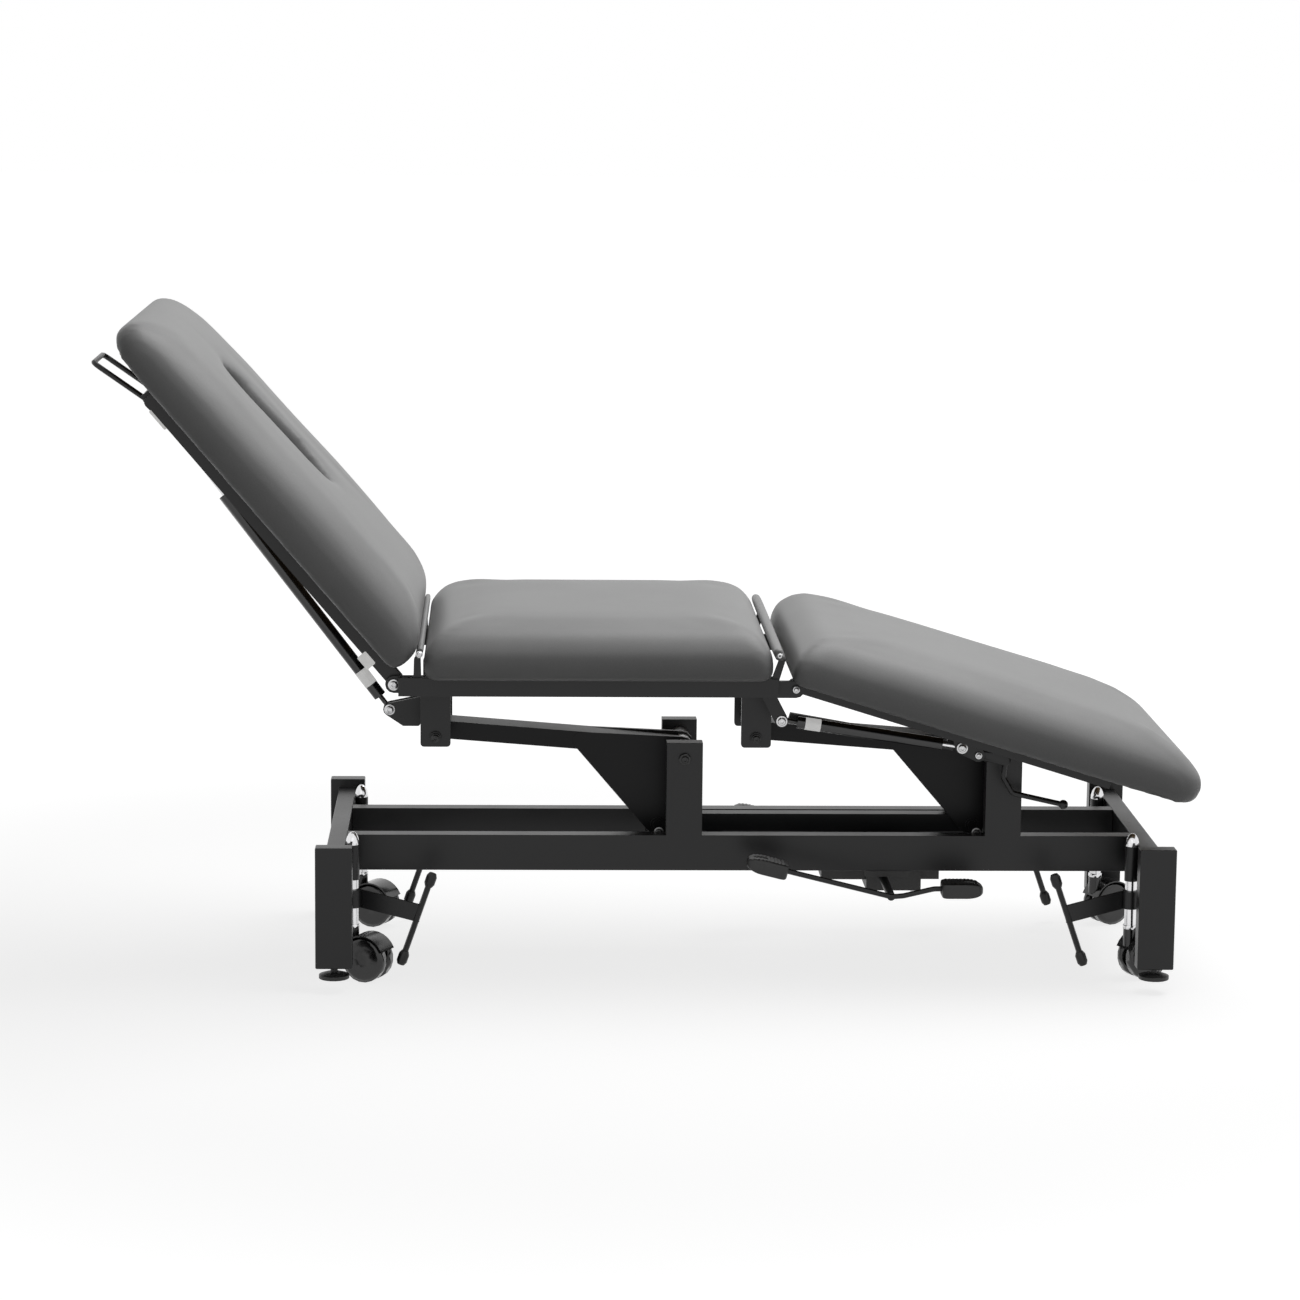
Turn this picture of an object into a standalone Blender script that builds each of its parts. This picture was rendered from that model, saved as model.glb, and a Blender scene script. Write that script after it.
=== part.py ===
# Three-section treatment table on a pedal-driven parallelogram lift, standing on its four lowered castors.
# Metres, +Z up, +X towards the foot end, the operator's side at -Y. The origin is on the floor, under the
# middle of the whole table as it stands: back section raised, leg section dropped, lift at its lowest.
from math import atan2, cos, hypot, pi, radians, sin, tan

import bmesh
import bpy
from mathutils import Vector

# Fits between pieces
GAP = 0.0003
WELD_DEPTH = 0.003
CUT_OVERRUN = 0.004
SHARP_ANGLE = radians(35)
THIN_SIDES = 8
ROUND_SIDES = 12
WHEEL_SIDES = 20
THIN_RADIUS = 0.0065
BEND_STEPS = 3
BALL_STEPS = 8

# Base frame
BASE_CENTRE_X = 0.1654
BASE_LENGTH = 1.406
BASE_WIDTH = 0.600
LEG_LENGTH = 0.060
LEG_THICKNESS = 0.030
LEG_BOTTOM = 0.041
LEG_TOP = 0.242
RAIL_TOP = 0.227
RAIL_HEIGHT = 0.060
RAIL_THICKNESS = 0.030
RAIL_SPREAD = 0.246

# Levelling feet, hanging clear of the floor while the castors carry
LEVELLER_CLEARANCE = 0.023
LEVELLER_RADIUS = 0.025
LEVELLER_THICKNESS = 0.006
LEVELLER_CONE = 0.004
LEVELLER_STUD_RADIUS = 0.006
LEVELLER_STUD_LENGTH = 0.055

# Lift pivots, posts, arms and tie rod
HEAD_PIVOT_X = -0.096
PIVOT_SPACING = 0.535
PIVOT_HEIGHT = 0.357
POST_LENGTH = 0.060
POST_TOP = 0.384
PIVOT_BOLT_RADIUS = 0.006
BOLT_HEAD_RADIUS = 0.010
BOLT_HEAD_HEIGHT = 0.005
HUB_RADIUS = 0.016
ARM_REACH = 0.4154
ARM_RISE = 0.032
ARM_WIDTH = 0.060
ARM_HEIGHT = 0.030
ARM_SIDE_THICKNESS = 0.008
ARM_SIDE_PROUD = 0.0005
GUSSET_REACH = 0.188
CRANK_BACK = 0.041
CRANK_DROP = 0.1305
CRANK_END_RADIUS = 0.020
CRANK_BOLT_RADIUS = 0.008
CRANK_WASHER_RADIUS = 0.012
CRANK_WASHER_HEIGHT = 0.004
TIE_ROD_SIDE = 0.030
TIE_ROD_END = 0.020

# Pump, its bracket and valve pin
PUMP_AXIS_X = 0.330
PUMP_AXIS_HEIGHT = 0.180
PUMP_PIN_RADIUS = 0.006
PUMP_BLOCK_START_X = 0.219
PUMP_BLOCK_END_X = 0.312
PUMP_BLOCK_BOTTOM = 0.114
PUMP_BLOCK_WIDTH = 0.080
PUMP_TANK_START_X = 0.143
PUMP_TANK_BOTTOM = 0.131
PUMP_TANK_WIDTH = 0.060
PUMP_BODY_TOP = 0.160
PUMP_FLANGE_START_X = 0.209
PUMP_FLANGE_END_X = 0.284
PUMP_FLANGE_THICKNESS = 0.010
PUMP_LUG_THICKNESS = 0.006
PUMP_LUG_INSIDE = 0.021
PUMP_LUG_RADIUS = 0.014
PUMP_CYLINDER_RADIUS = 0.015
PUMP_CYLINDER_WALL = 0.002
PUMP_CYLINDER_LENGTH = 0.225
PUMP_EYE_RADIUS = 0.013
PUMP_EYE_WIDTH = 0.036
RAM_RADIUS = 0.0065
RAM_PIN_X = -0.040
RAM_PIN_HEIGHT = 0.188
RAM_PIN_RADIUS = 0.006
RAM_EYE_RADIUS = 0.012
RAM_EYE_WIDTH = 0.016
RAM_INSERTION = 0.125
TIE_LUG_THICKNESS = 0.005
TIE_LUG_RADIUS = 0.013
VALVE_PIN_X = 0.303
VALVE_PIN_RADIUS = 0.004
VALVE_PIN_BOTTOM = 0.103
VALVE_PIN_LENGTH = 0.024
VALVE_PIN_TRAVEL = 0.004

# Pedal levers on their cross shaft
PEDAL_AXIS_X = 0.245
PEDAL_AXIS_HEIGHT = 0.142
PEDAL_SIDE_Y = 0.207
PEDAL_ROD_RADIUS = 0.0045
PEDAL_SHAFT_RADIUS = 0.007
PEDAL_BEND_RADIUS = 0.040
PEDAL_HEAD_REACH = 0.173
PEDAL_HEAD_RISE = 0.043
PEDAL_KNEE_REACH = 0.020
PEDAL_KNEE_RISE = 0.0015
PEDAL_FOOT_BEND_REACH = 0.071
PEDAL_FOOT_REACH = 0.0825
PEDAL_FOOT_RISE = 0.0135
PAD_LENGTH = 0.069
PAD_THICKNESS = 0.025
PAD_WIDTH = 0.048
PAD_CORNER_RADIUS = 0.010
PAD_SOCKET_DEPTH = 0.018
PAD_SLOT_LENGTH = 0.022
PAD_SLOT_WIDTH = 0.009

# Castors with their stems and retracting levers
CASTOR_INSET = 0.105
CASTOR_SIDE_Y = BASE_WIDTH / 2 - CASTOR_INSET
SLEEVE_RADIUS = 0.0117
SLEEVE_BOTTOM = 0.1676
SLEEVE_TOP = 0.2262
STEM_RADIUS = 0.0098
STEM_BOTTOM = 0.0863
STEM_COLLAR_HEIGHT = 0.006
STEM_DOME_HEIGHT = 0.0215
LEVER_HUB_RADIUS = 0.015
LEVER_HUB_TOP = 0.151
LEVER_HUB_HEIGHT = 0.030
LEVER_PLATE_THICKNESS = 0.005
LEVER_REACH = 0.110
LEVER_OFFSET = 0.025
LEVER_DROP = 0.020
LEVER_BAR_RADIUS = 0.005
LEVER_UPPER_RUN = 0.019
LEVER_UPPER_RISE = 0.056
LEVER_LOWER_RUN = 0.0265
LEVER_LOWER_DROP = 0.075
KNOB_RADIUS = 0.009
KNOB_LENGTH = 0.024
KNOB_END_RADIUS = 0.006
WHEEL_RADIUS = 0.0375
WHEEL_WIDTH = 0.017
WHEEL_RIM_RADIUS = 0.030
WHEEL_DISH = 0.003
CASTOR_WEB = 0.009
CASTOR_TRAIL = 0.028
CASTOR_YAW = radians(27)
AXLE_RADIUS = 0.005
HOOD_CLEARANCE = 0.0015
HOOD_THICKNESS = 0.0022
HOOD_FRONT_ANGLE = radians(158)
HOOD_BACK_ANGLE = radians(24)
SOCKET_RADIUS = 0.011
SOCKET_PIN_RADIUS = 0.005
SOCKET_PIN_LENGTH = 0.016

# Seat section, carried by the arms' upper pivots
SEAT_BAR_SIDE = 0.030
SEAT_BAR_SPREAD = 0.540
SEAT_BAR_RISE = 0.0985
SEAT_BAR_HEAD_OVERHANG = 0.0572
BRACKET_WIDTH = 0.050
BRACKET_THICKNESS = 0.008
BRACKET_SPREAD = 0.206
BRACKET_BELOW_PIVOT = 0.0165
BRACKET_CORNER_RADIUS = 0.006
SEAT_CUSHION_HEAD_OVERHANG = 0.0166
SEAT_CUSHION_LENGTH = 0.567
SEAT_CUSHION_FOOT_X = SEAT_CUSHION_LENGTH - SEAT_CUSHION_HEAD_OVERHANG
SEAT_BAR_PROUD = 0.0091
SEAT_BAR_FOOT_OVERHANG = SEAT_CUSHION_FOOT_X + SEAT_BAR_PROUD - PIVOT_SPACING
HINGE_PLATE_THICKNESS = 0.006
HINGE_PLATE_RADIUS = 0.014
HINGE_BOLT_RADIUS = 0.006
HINGE_HEAD_RADIUS = 0.0075
SPRING_PLATE_INSIDE = 0.0065
SPRING_PLATE_THICKNESS = 0.005
SPRING_PLATE_RADIUS = 0.011
SPRING_PIN_RADIUS = 0.004
SPRING_CROSS_HEIGHT = 0.034
SPRING_CROSS_THICKNESS = 0.012
SPRING_CROSS_RISE = 0.0195
SPRING_PLATE_TOE_BACK = 0.0556
SPRING_PLATE_HEEL_BACK = 0.0312
SPRING_PLATE_TOE_RISE = 0.0045

# Filler pads between the sections, each on a bent rod over the seat frame
FILLER_ROD_RADIUS = 0.004
FILLER_ROD_RISE = 0.030
FILLER_ROD_SPREAD = 0.530
FILLER_TAB_THICKNESS = 0.005
FILLER_TAB_WIDTH = 0.013
FILLER_HEAD_BACK = 0.0265
FILLER_FOOT_OUTSET = 0.0054
FILLER_PAD_HEIGHT = 0.018
FILLER_PAD_THICKNESS = 0.008
FILLER_PAD_WIDTH = 0.560
FILLER_HEAD_LEAN = radians(17)
FILLER_FOOT_LEAN = radians(-25)

# Upholstery shared by the three sections
CUSHION_WIDTH = 0.620
CUSHION_SIDE_RADIUS = 0.068
CUSHION_OUTER_CORNER = 0.050
CUSHION_INNER_CORNER = 0.024
CUSHION_DRAW_IN = 0.006
BOARD_THICKNESS = 0.012
BOARD_INSET = 0.028
BOARD_CORNER_RADIUS = 0.030
CORNER_STEPS = 4
LONG_STEPS = 11
SHORT_STEPS = 7
ROUND_STEPS = 5
WALL_SHARE = 0.30
ROLL_TOP_SHARE = 0.97
DRAW_SHARES = ((0, 1), (0.12, 0.2))
CROWN_SHARES = ((0.985, 1.5), (1.0, 2.2))

# Seat cushion
SEAT_THICKNESS = 0.090
SEAT_END_RADIUS = 0.060

# Back section, in its own frame: origin on the hinge, the section running to -X along its board
BACK_HINGE_BACK = 0.0653
BACK_HINGE_RISE = 0.113
BACK_ANGLE = radians(49.5)
BACK_BOARD_RISE = 0.018
BACK_CUSHION_START = 0.019
BACK_CUSHION_LENGTH = 0.702
BACK_THICKNESS = 0.099
BACK_THICKNESS_SHARES = (0.82, 0.93, 1.0, 1.0)
BACK_HEAD_RADIUS = 0.055
BACK_SEAT_RADIUS = 0.070
BACK_HEAD_BOTTOM_LIFT = 0.014
BACK_SEAT_BOTTOM_LIFT = 0.004
FACE_HOLE_START = 0.305
FACE_HOLE_LENGTH = 0.260
FACE_HOLE_WIDTH = 0.125
FACE_HOLE_BOARD_MARGIN = 0.008
SECTION_TUBE = 0.025
SECTION_TUBE_SPREAD = 0.4674
BACK_FRAME_LENGTH = 0.610
BACK_END_CROSS_INSET = 0.018
BACK_CROSS_STARTS = (0.070, BACK_FRAME_LENGTH - BACK_END_CROSS_INSET)

# Release handle and its bracket under the head end
HANDLE_PIVOT_REACH = 0.5985
HANDLE_PIVOT_DROP = 0.021
HANDLE_LENGTH = 0.112
HANDLE_TILT = radians(14.7)
HANDLE_SPREAD = 0.164
HANDLE_BAR_RADIUS = 0.0045
HANDLE_BEND_RADIUS = 0.012
HANDLE_EYE_RADIUS = 0.009
HANDLE_EYE_THICKNESS = 0.004
BRACKET_START = 0.520
BRACKET_END = 0.612
BRACKET_DROP = 0.034
BRACKET_HALF_WIDTH = 0.0865
BRACKET_SHEET = 0.004
HANDLE_PIN_RADIUS = 0.004

# Gas spring of the back section
BACK_SPRING_FOOT_BACK = 0.0791
BACK_SPRING_FOOT_RISE = 0.0298
BACK_SPRING_TOP_REACH = 0.569
BACK_SPRING_TOP_DROP = 0.0293
BACK_SPRING_RADIUS = 0.011
BACK_SPRING_BORE_RADIUS = 0.0096
BACK_SPRING_LENGTH = 0.455
BACK_SPRING_ROD_RADIUS = 0.004
BACK_SPRING_INSERTION = 0.110
SPRING_EYE_RADIUS = 0.009
SPRING_EYE_WIDTH = 0.009
SPRING_SHANK_RADIUS = 0.0042
SPRING_CAP_LENGTH = 0.030

# Leg section, in its own frame: origin on the hinge, the section running to +X along its board
LEG_HINGE_GAP = 0.040
LEG_HINGE_FORWARD = SEAT_CUSHION_FOOT_X + LEG_HINGE_GAP - PIVOT_SPACING
LEG_HINGE_RISE = 0.107
LEG_ANGLE = radians(17.1)
LEG_BOARD_RISE = 0.0146
LEG_CUSHION_START = -0.0190
LEG_CUSHION_LENGTH = 0.703
LEG_CUSHION_THICKNESS = 0.094
LEG_THICKNESS_SHARES = (0.96, 1.0, 1.0, 0.95)
LEG_SEAT_RADIUS = 0.050
LEG_FOOT_RADIUS = 0.093
LEG_FOOT_BOTTOM_LIFT = 0.012
LEG_FRAME_LENGTH = 0.545
LEG_TUBE_HEIGHT = 0.020
LEG_CROSS_STARTS = (0.040, 0.275, 0.508)

# Gas spring of the leg section, beside the posts on the operator's side
LEG_SPRING_Y = -0.160
LEG_SPRING_START_BACK = 0.0179
LEG_SPRING_START_FORWARD = LEG_HINGE_FORWARD - LEG_SPRING_START_BACK
LEG_SPRING_START_RISE = 0.0418
LEG_SPRING_END_X = 0.302
LEG_SPRING_END_DROP = 0.0215
LEG_SPRING_RADIUS = 0.010
LEG_SPRING_BORE_RADIUS = 0.0084
LEG_SPRING_LENGTH = 0.271
LEG_SPRING_ROD_RADIUS = 0.004
LEG_SPRING_INSERTION = 0.080
LEG_LEVER_PIVOT_X = 0.3322
LEG_LEVER_PIVOT_DROP = 0.0255
LEG_LEVER_FINGER_RUN = 0.046
LEG_LEVER_FINGER_DROP = 0.009
LEG_LEVER_BEND_RUN = 0.044
LEG_LEVER_BEND_DROP = 0.040
LEG_LEVER_KNEE_RUN = 0.060
LEG_LEVER_KNEE_DROP = 0.066
LEG_LEVER_GRIP_RUN = 0.145
LEG_LEVER_GRIP_DROP = 0.085
LEG_LEVER_BEND_RADIUS = 0.008
LEG_LEVER_ROD_RADIUS = 0.0045
LEG_LEVER_BALL_RADIUS = 0.008
LEG_STOP_BAR_Y = -0.133
LEG_STOP_BAR_SIDE = 0.0135
LEG_STOP_BAR_START_X = 0.016
LEG_STOP_BAR_START_DROP = 0.0625
LEG_STOP_BAR_END_DROP = 0.029

COLOURS = {
    "black_enamel": ((0.012, 0.012, 0.013), 0.42, 0.0),
    "bright_steel": ((0.62, 0.62, 0.63), 0.25, 1.0),
    "black_plastic": ((0.010, 0.010, 0.011), 0.5, 0.0),
    "black_rubber": ((0.022, 0.022, 0.023), 0.8, 0.0),
    "grey_vinyl": ((0.20, 0.20, 0.20), 0.45, 0.0),
    "plywood": ((0.42, 0.30, 0.19), 0.7, 0.0),
    "black_cylinder": ((0.008, 0.008, 0.009), 0.3, 0.0),
    "cast_iron": ((0.030, 0.030, 0.032), 0.6, 0.2),
}


def clear_scene():
    for obj in list(bpy.data.objects):
        bpy.data.objects.remove(obj)


def finish(name):
    if name in bpy.data.materials:
        return bpy.data.materials[name]
    colour, roughness, metallic = COLOURS[name]
    made = bpy.data.materials.new(name)
    made.use_nodes = True
    surface = made.node_tree.nodes["Principled BSDF"]
    surface.inputs["Base Color"].default_value = (*colour, 1)
    surface.inputs["Roughness"].default_value = roughness
    surface.inputs["Metallic"].default_value = metallic
    made.diffuse_color = (*colour, 1)
    return made


def axis_empty(name, parent, place, turn=0.0, yaw=0.0):
    empty = bpy.data.objects.new(name, None)
    bpy.context.scene.collection.objects.link(empty)
    empty.parent = parent
    empty.location = place
    empty.rotation_euler = (0, turn, yaw)
    return empty


# Closed shells, each in a bmesh of its own
def block(low, high):
    shell = bmesh.new()
    bmesh.ops.create_cube(shell, size=1)
    low, high = Vector(low), Vector(high)
    bmesh.ops.scale(shell, vec=high - low, verts=shell.verts)
    bmesh.ops.translate(shell, vec=(high + low) / 2, verts=shell.verts)
    return shell


def prism(outline, start, end, axis="Y"):
    places = {
        "X": lambda u, v, along: (along, u, v),
        "Y": lambda u, v, along: (u, along, v),
        "Z": lambda u, v, along: (u, v, along),
    }[axis]
    shell = bmesh.new()
    rings = [[shell.verts.new(places(u, v, along)) for u, v in outline] for along in (start, end)]
    close_rings(shell, rings)
    return shell


def close_rings(shell, rings):
    for lower, upper in zip(rings, rings[1:]):
        for near, far in zip(range(len(lower)), [*range(1, len(lower)), 0]):
            shell.faces.new((lower[near], lower[far], upper[far], upper[near]))
    shell.faces.new(rings[0])
    shell.faces.new(rings[-1])
    bmesh.ops.recalc_face_normals(shell, faces=shell.faces)


def sides_for(radius):
    return THIN_SIDES if radius < THIN_RADIUS else ROUND_SIDES


def rod(start, end, radius, sides=None):
    return swept([Vector(start), Vector(end)], radius, sides)


def swept(path, radius, sides=None):
    sides = sides or sides_for(radius)
    shell = bmesh.new()
    rings = []
    across = (path[1] - path[0]).orthogonal()
    for index, point in enumerate(path):
        ahead = path[min(index + 1, len(path) - 1)] - point
        behind = point - path[max(index - 1, 0)]
        tangent = (ahead.normalized() + behind.normalized()).normalized()
        across = (across - tangent * across.dot(tangent)).normalized()
        upright = tangent.cross(across)
        angles = [2 * pi * side / sides for side in range(sides)]
        rings.append([shell.verts.new(point + radius * (cos(a) * across + sin(a) * upright)) for a in angles])
    close_rings(shell, rings)
    return shell


def rounded_path(corners, bend):
    corners = [Vector(corner) for corner in corners]
    path = [corners[0]]
    for before, corner, after in zip(corners, corners[1:], corners[2:]):
        back = (before - corner).normalized()
        ahead = (after - corner).normalized()
        half = back.angle(ahead) / 2
        centre = corner + (back + ahead).normalized() * bend / sin(half)
        first = (corner + back * bend / tan(half) - centre).normalized()
        last = (corner + ahead * bend / tan(half) - centre).normalized()
        path += [centre + bend * first.slerp(last, step / BEND_STEPS) for step in range(BEND_STEPS + 1)]
    return [*path, corners[-1]]


def turned(profile, start, direction, sides=ROUND_SIDES):
    start, direction = Vector(start), Vector(direction).normalized()
    across = direction.orthogonal().normalized()
    upright = direction.cross(across)
    angles = [2 * pi * side / sides for side in range(sides)]
    shell = bmesh.new()
    rings = []
    for radius, distance in profile:
        middle = start + direction * distance
        rings.append([shell.verts.new(middle + radius * (cos(a) * across + sin(a) * upright)) for a in angles])
    close_rings(shell, rings)
    return shell


def circle_points(centre, radius, steps, start=0.0, end=2 * pi):
    angles = [start + (end - start) * step / steps for step in range(steps + 1)]
    return [(centre[0] + radius * cos(a), centre[1] + radius * sin(a)) for a in angles]


# The outline of a belt drawn tight round a set of circles
def belt_outline(circles):
    points = sorted({p for centre, radius in circles for p in circle_points(centre, radius, ROUND_SIDES)[:-1]})
    sides = []
    for ordered in (points, points[::-1]):
        chain = []
        for point in ordered:
            while len(chain) > 1 and not turns_left(chain[-2], chain[-1], point):
                chain.pop()
            chain.append(point)
        sides += chain[:-1]
    return sides


def turns_left(first, second, third):
    run = (second[0] - first[0]) * (third[1] - first[1])
    rise = (second[1] - first[1]) * (third[0] - first[0])
    return run - rise > GAP * GAP


def rounded_rectangle(low, high, radius):
    return round_cornered(low, high, radius, radius, 1, 1)


# A rectangle with one corner radius at its low end and another at its high end
def round_cornered(low, high, low_radius, high_radius, long_steps, short_steps):
    corners = (
        (high, (-1, -1), high_radius, 0, long_steps),
        ((low[0], high[1]), (1, -1), low_radius, pi / 2, short_steps),
        (low, (1, 1), low_radius, pi, long_steps),
        ((high[0], low[1]), (-1, 1), high_radius, 3 * pi / 2, short_steps),
    )
    arcs = []
    for corner, inward, radius, start, _ in corners:
        centre = (corner[0] + inward[0] * radius, corner[1] + inward[1] * radius)
        arcs.append(circle_points(centre, radius, CORNER_STEPS, start, start + pi / 2))
    points = []
    for arc, following, (_, _, _, _, steps) in zip(arcs, [*arcs[1:], arcs[0]], corners):
        points += arc
        left, reached = Vector(arc[-1]), Vector(following[0])
        points += [tuple(left.lerp(reached, step / steps)) for step in range(1, steps)]
    return points


def bore_radius(shaft_radius):
    snug = (shaft_radius + GAP) / cos(pi / ROUND_SIDES)
    return snug if sides_for(snug) == ROUND_SIDES else (shaft_radius + GAP) / cos(pi / THIN_SIDES)


# Joins shells into one closed body, then takes the cutting shells away from it
def joined(name, shells, cuts=(), solver="EXACT"):
    scene = bpy.context.scene.collection
    helpers = []
    for index, shell in enumerate([*shells, *cuts]):
        mesh = bpy.data.meshes.new(f"{name}_shell_{index}")
        shell.to_mesh(mesh)
        shell.free()
        helper = bpy.data.objects.new(mesh.name, mesh)
        scene.objects.link(helper)
        helpers.append(helper)
    body = helpers[0]
    for index, helper in enumerate(helpers[1:], 1):
        modifier = body.modifiers.new(helper.name, "BOOLEAN")
        modifier.operation = "UNION" if index < len(shells) else "DIFFERENCE"
        modifier.solver = solver
        modifier.object = helper
    bpy.context.view_layer.update()
    evaluated = body.evaluated_get(bpy.context.evaluated_depsgraph_get())
    mesh = bpy.data.meshes.new_from_object(evaluated)
    mesh.name = name
    for helper in helpers:
        bpy.data.meshes.remove(helper.data)
    mesh.shade_smooth()
    mesh.set_sharp_from_angle(angle=SHARP_ANGLE)
    return mesh


def place(name, mesh, parent, look, location=(0, 0, 0), rotation=(0, 0, 0)):
    obj = bpy.data.objects.new(name, mesh)
    bpy.context.scene.collection.objects.link(obj)
    obj.parent = parent
    obj.location = location
    obj.rotation_euler = rotation
    if not mesh.materials:
        mesh.materials.append(finish(look))
    return obj


# Base frame: two long rails with their lift posts, and two end frames with the legs
def build_rails(base):
    rail_end = BASE_LENGTH / 2 - LEG_LENGTH / 2 - RAIL_THICKNESS / 2 - GAP
    bore = bore_radius(PIVOT_BOLT_RADIUS)
    for name, side in (("rail_near", -1), ("rail_far", 1)):
        outer = side * RAIL_SPREAD / 2
        inner = outer - side * RAIL_THICKNESS
        low_y, high_y = sorted((outer, inner))
        shells = [block((-rail_end, low_y, RAIL_TOP - RAIL_HEIGHT), (rail_end, high_y, RAIL_TOP))]
        cuts = []
        for pivot_x in (HEAD_PIVOT_X, HEAD_PIVOT_X + PIVOT_SPACING):
            low = (pivot_x - POST_LENGTH / 2, low_y, RAIL_TOP - RAIL_HEIGHT / 2)
            shells.append(block(low, (pivot_x + POST_LENGTH / 2, high_y, POST_TOP)))
            ends = [(pivot_x, y, PIVOT_HEIGHT) for y in (low_y - CUT_OVERRUN, high_y + CUT_OVERRUN)]
            cuts.append(rod(*ends, bore))
        place(name, joined(name, shells, cuts), base, "black_enamel")


def build_pivot_bolts(base):
    reach = RAIL_SPREAD / 2 + GAP
    bolt = joined("pivot_bolt", [
        rod((0, -reach - GAP, 0), (0, reach + GAP, 0), PIVOT_BOLT_RADIUS),
        rod((0, -reach - BOLT_HEAD_HEIGHT, 0), (0, -reach, 0), BOLT_HEAD_RADIUS),
        rod((0, reach, 0), (0, reach + BOLT_HEAD_HEIGHT, 0), BOLT_HEAD_RADIUS),
    ])
    for name, pivot_x in (("pivot_bolt_head", HEAD_PIVOT_X), ("pivot_bolt_foot", HEAD_PIVOT_X + PIVOT_SPACING)):
        place(name, bolt, base, "bright_steel", (pivot_x, 0, PIVOT_HEIGHT))


def build_end_frames(base):
    half_width = BASE_WIDTH / 2
    beam_half = RAIL_THICKNESS / 2
    bore = bore_radius(LEVELLER_STUD_RADIUS)
    shells = [block((-beam_half, -half_width + WELD_DEPTH, RAIL_TOP - RAIL_HEIGHT),
                    (beam_half, half_width - WELD_DEPTH, RAIL_TOP))]
    cuts = []
    for side in (-1, 1):
        low_y, high_y = sorted((side * half_width, side * (half_width - LEG_THICKNESS)))
        shells.append(block((-LEG_LENGTH / 2, low_y, LEG_BOTTOM), (LEG_LENGTH / 2, high_y, LEG_TOP)))
        middle_y = (low_y + high_y) / 2
        top = LEVELLER_CLEARANCE + LEVELLER_STUD_LENGTH + CUT_OVERRUN
        cuts.append(rod((0, middle_y, LEG_BOTTOM - CUT_OVERRUN), (0, middle_y, top), bore))
    frame = joined("end_frame", shells, cuts)
    leg_x = BASE_LENGTH / 2 - LEG_LENGTH / 2
    for name, end_x in (("end_frame_head", -leg_x), ("end_frame_foot", leg_x)):
        place(name, frame, base, "black_enamel", (end_x, 0, 0))


def build_levellers(base):
    disc = [(LEVELLER_RADIUS, 0), (LEVELLER_RADIUS, LEVELLER_THICKNESS),
            (LEVELLER_RADIUS / 2, LEVELLER_THICKNESS + LEVELLER_CONE)]
    foot = joined("leveller", [
        turned(disc, (0, 0, 0), (0, 0, 1), WHEEL_SIDES),
        rod((0, 0, LEVELLER_THICKNESS), (0, 0, LEVELLER_STUD_LENGTH), LEVELLER_STUD_RADIUS),
    ])
    leg_x = BASE_LENGTH / 2 - LEG_LENGTH / 2
    leg_y = BASE_WIDTH / 2 - LEG_THICKNESS / 2
    for end, x in (("head", -leg_x), ("foot", leg_x)):
        for side, y in (("near", -leg_y), ("far", leg_y)):
            place(f"leveller_{end}_{side}", foot, base, "black_rubber", (x, y, LEVELLER_CLEARANCE))


# Castors: sleeve, sliding stem with its dome, retracting lever, hood and a pair of wheels
def sleeve_mesh():
    tube = rod((0, 0, SLEEVE_BOTTOM), (0, 0, SLEEVE_TOP), SLEEVE_RADIUS)
    ends = [(0, 0, z) for z in (SLEEVE_BOTTOM - CUT_OVERRUN, SLEEVE_TOP + CUT_OVERRUN)]
    return joined("castor_sleeve", [tube], [rod(*ends, bore_radius(STEM_RADIUS))])


def stem_mesh():
    dome_bottom = SLEEVE_TOP + GAP
    dome = [(SLEEVE_RADIUS * cos(a), dome_bottom + STEM_DOME_HEIGHT * sin(a))
            for a in [pi / 2 * step / ROUND_STEPS for step in range(ROUND_STEPS)]]
    pin_hole = rod((0, 0, STEM_BOTTOM - CUT_OVERRUN),
                   (0, 0, STEM_BOTTOM + SOCKET_PIN_LENGTH + GAP), bore_radius(SOCKET_PIN_RADIUS))
    return joined("castor_stem", [
        rod((0, 0, STEM_BOTTOM), (0, 0, dome_bottom + WELD_DEPTH), STEM_RADIUS),
        rod((0, 0, STEM_BOTTOM), (0, 0, STEM_BOTTOM + STEM_COLLAR_HEIGHT), SLEEVE_RADIUS),
        turned(dome, (0, 0, 0), (0, 0, 1)),
    ], [pin_hole])


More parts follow.
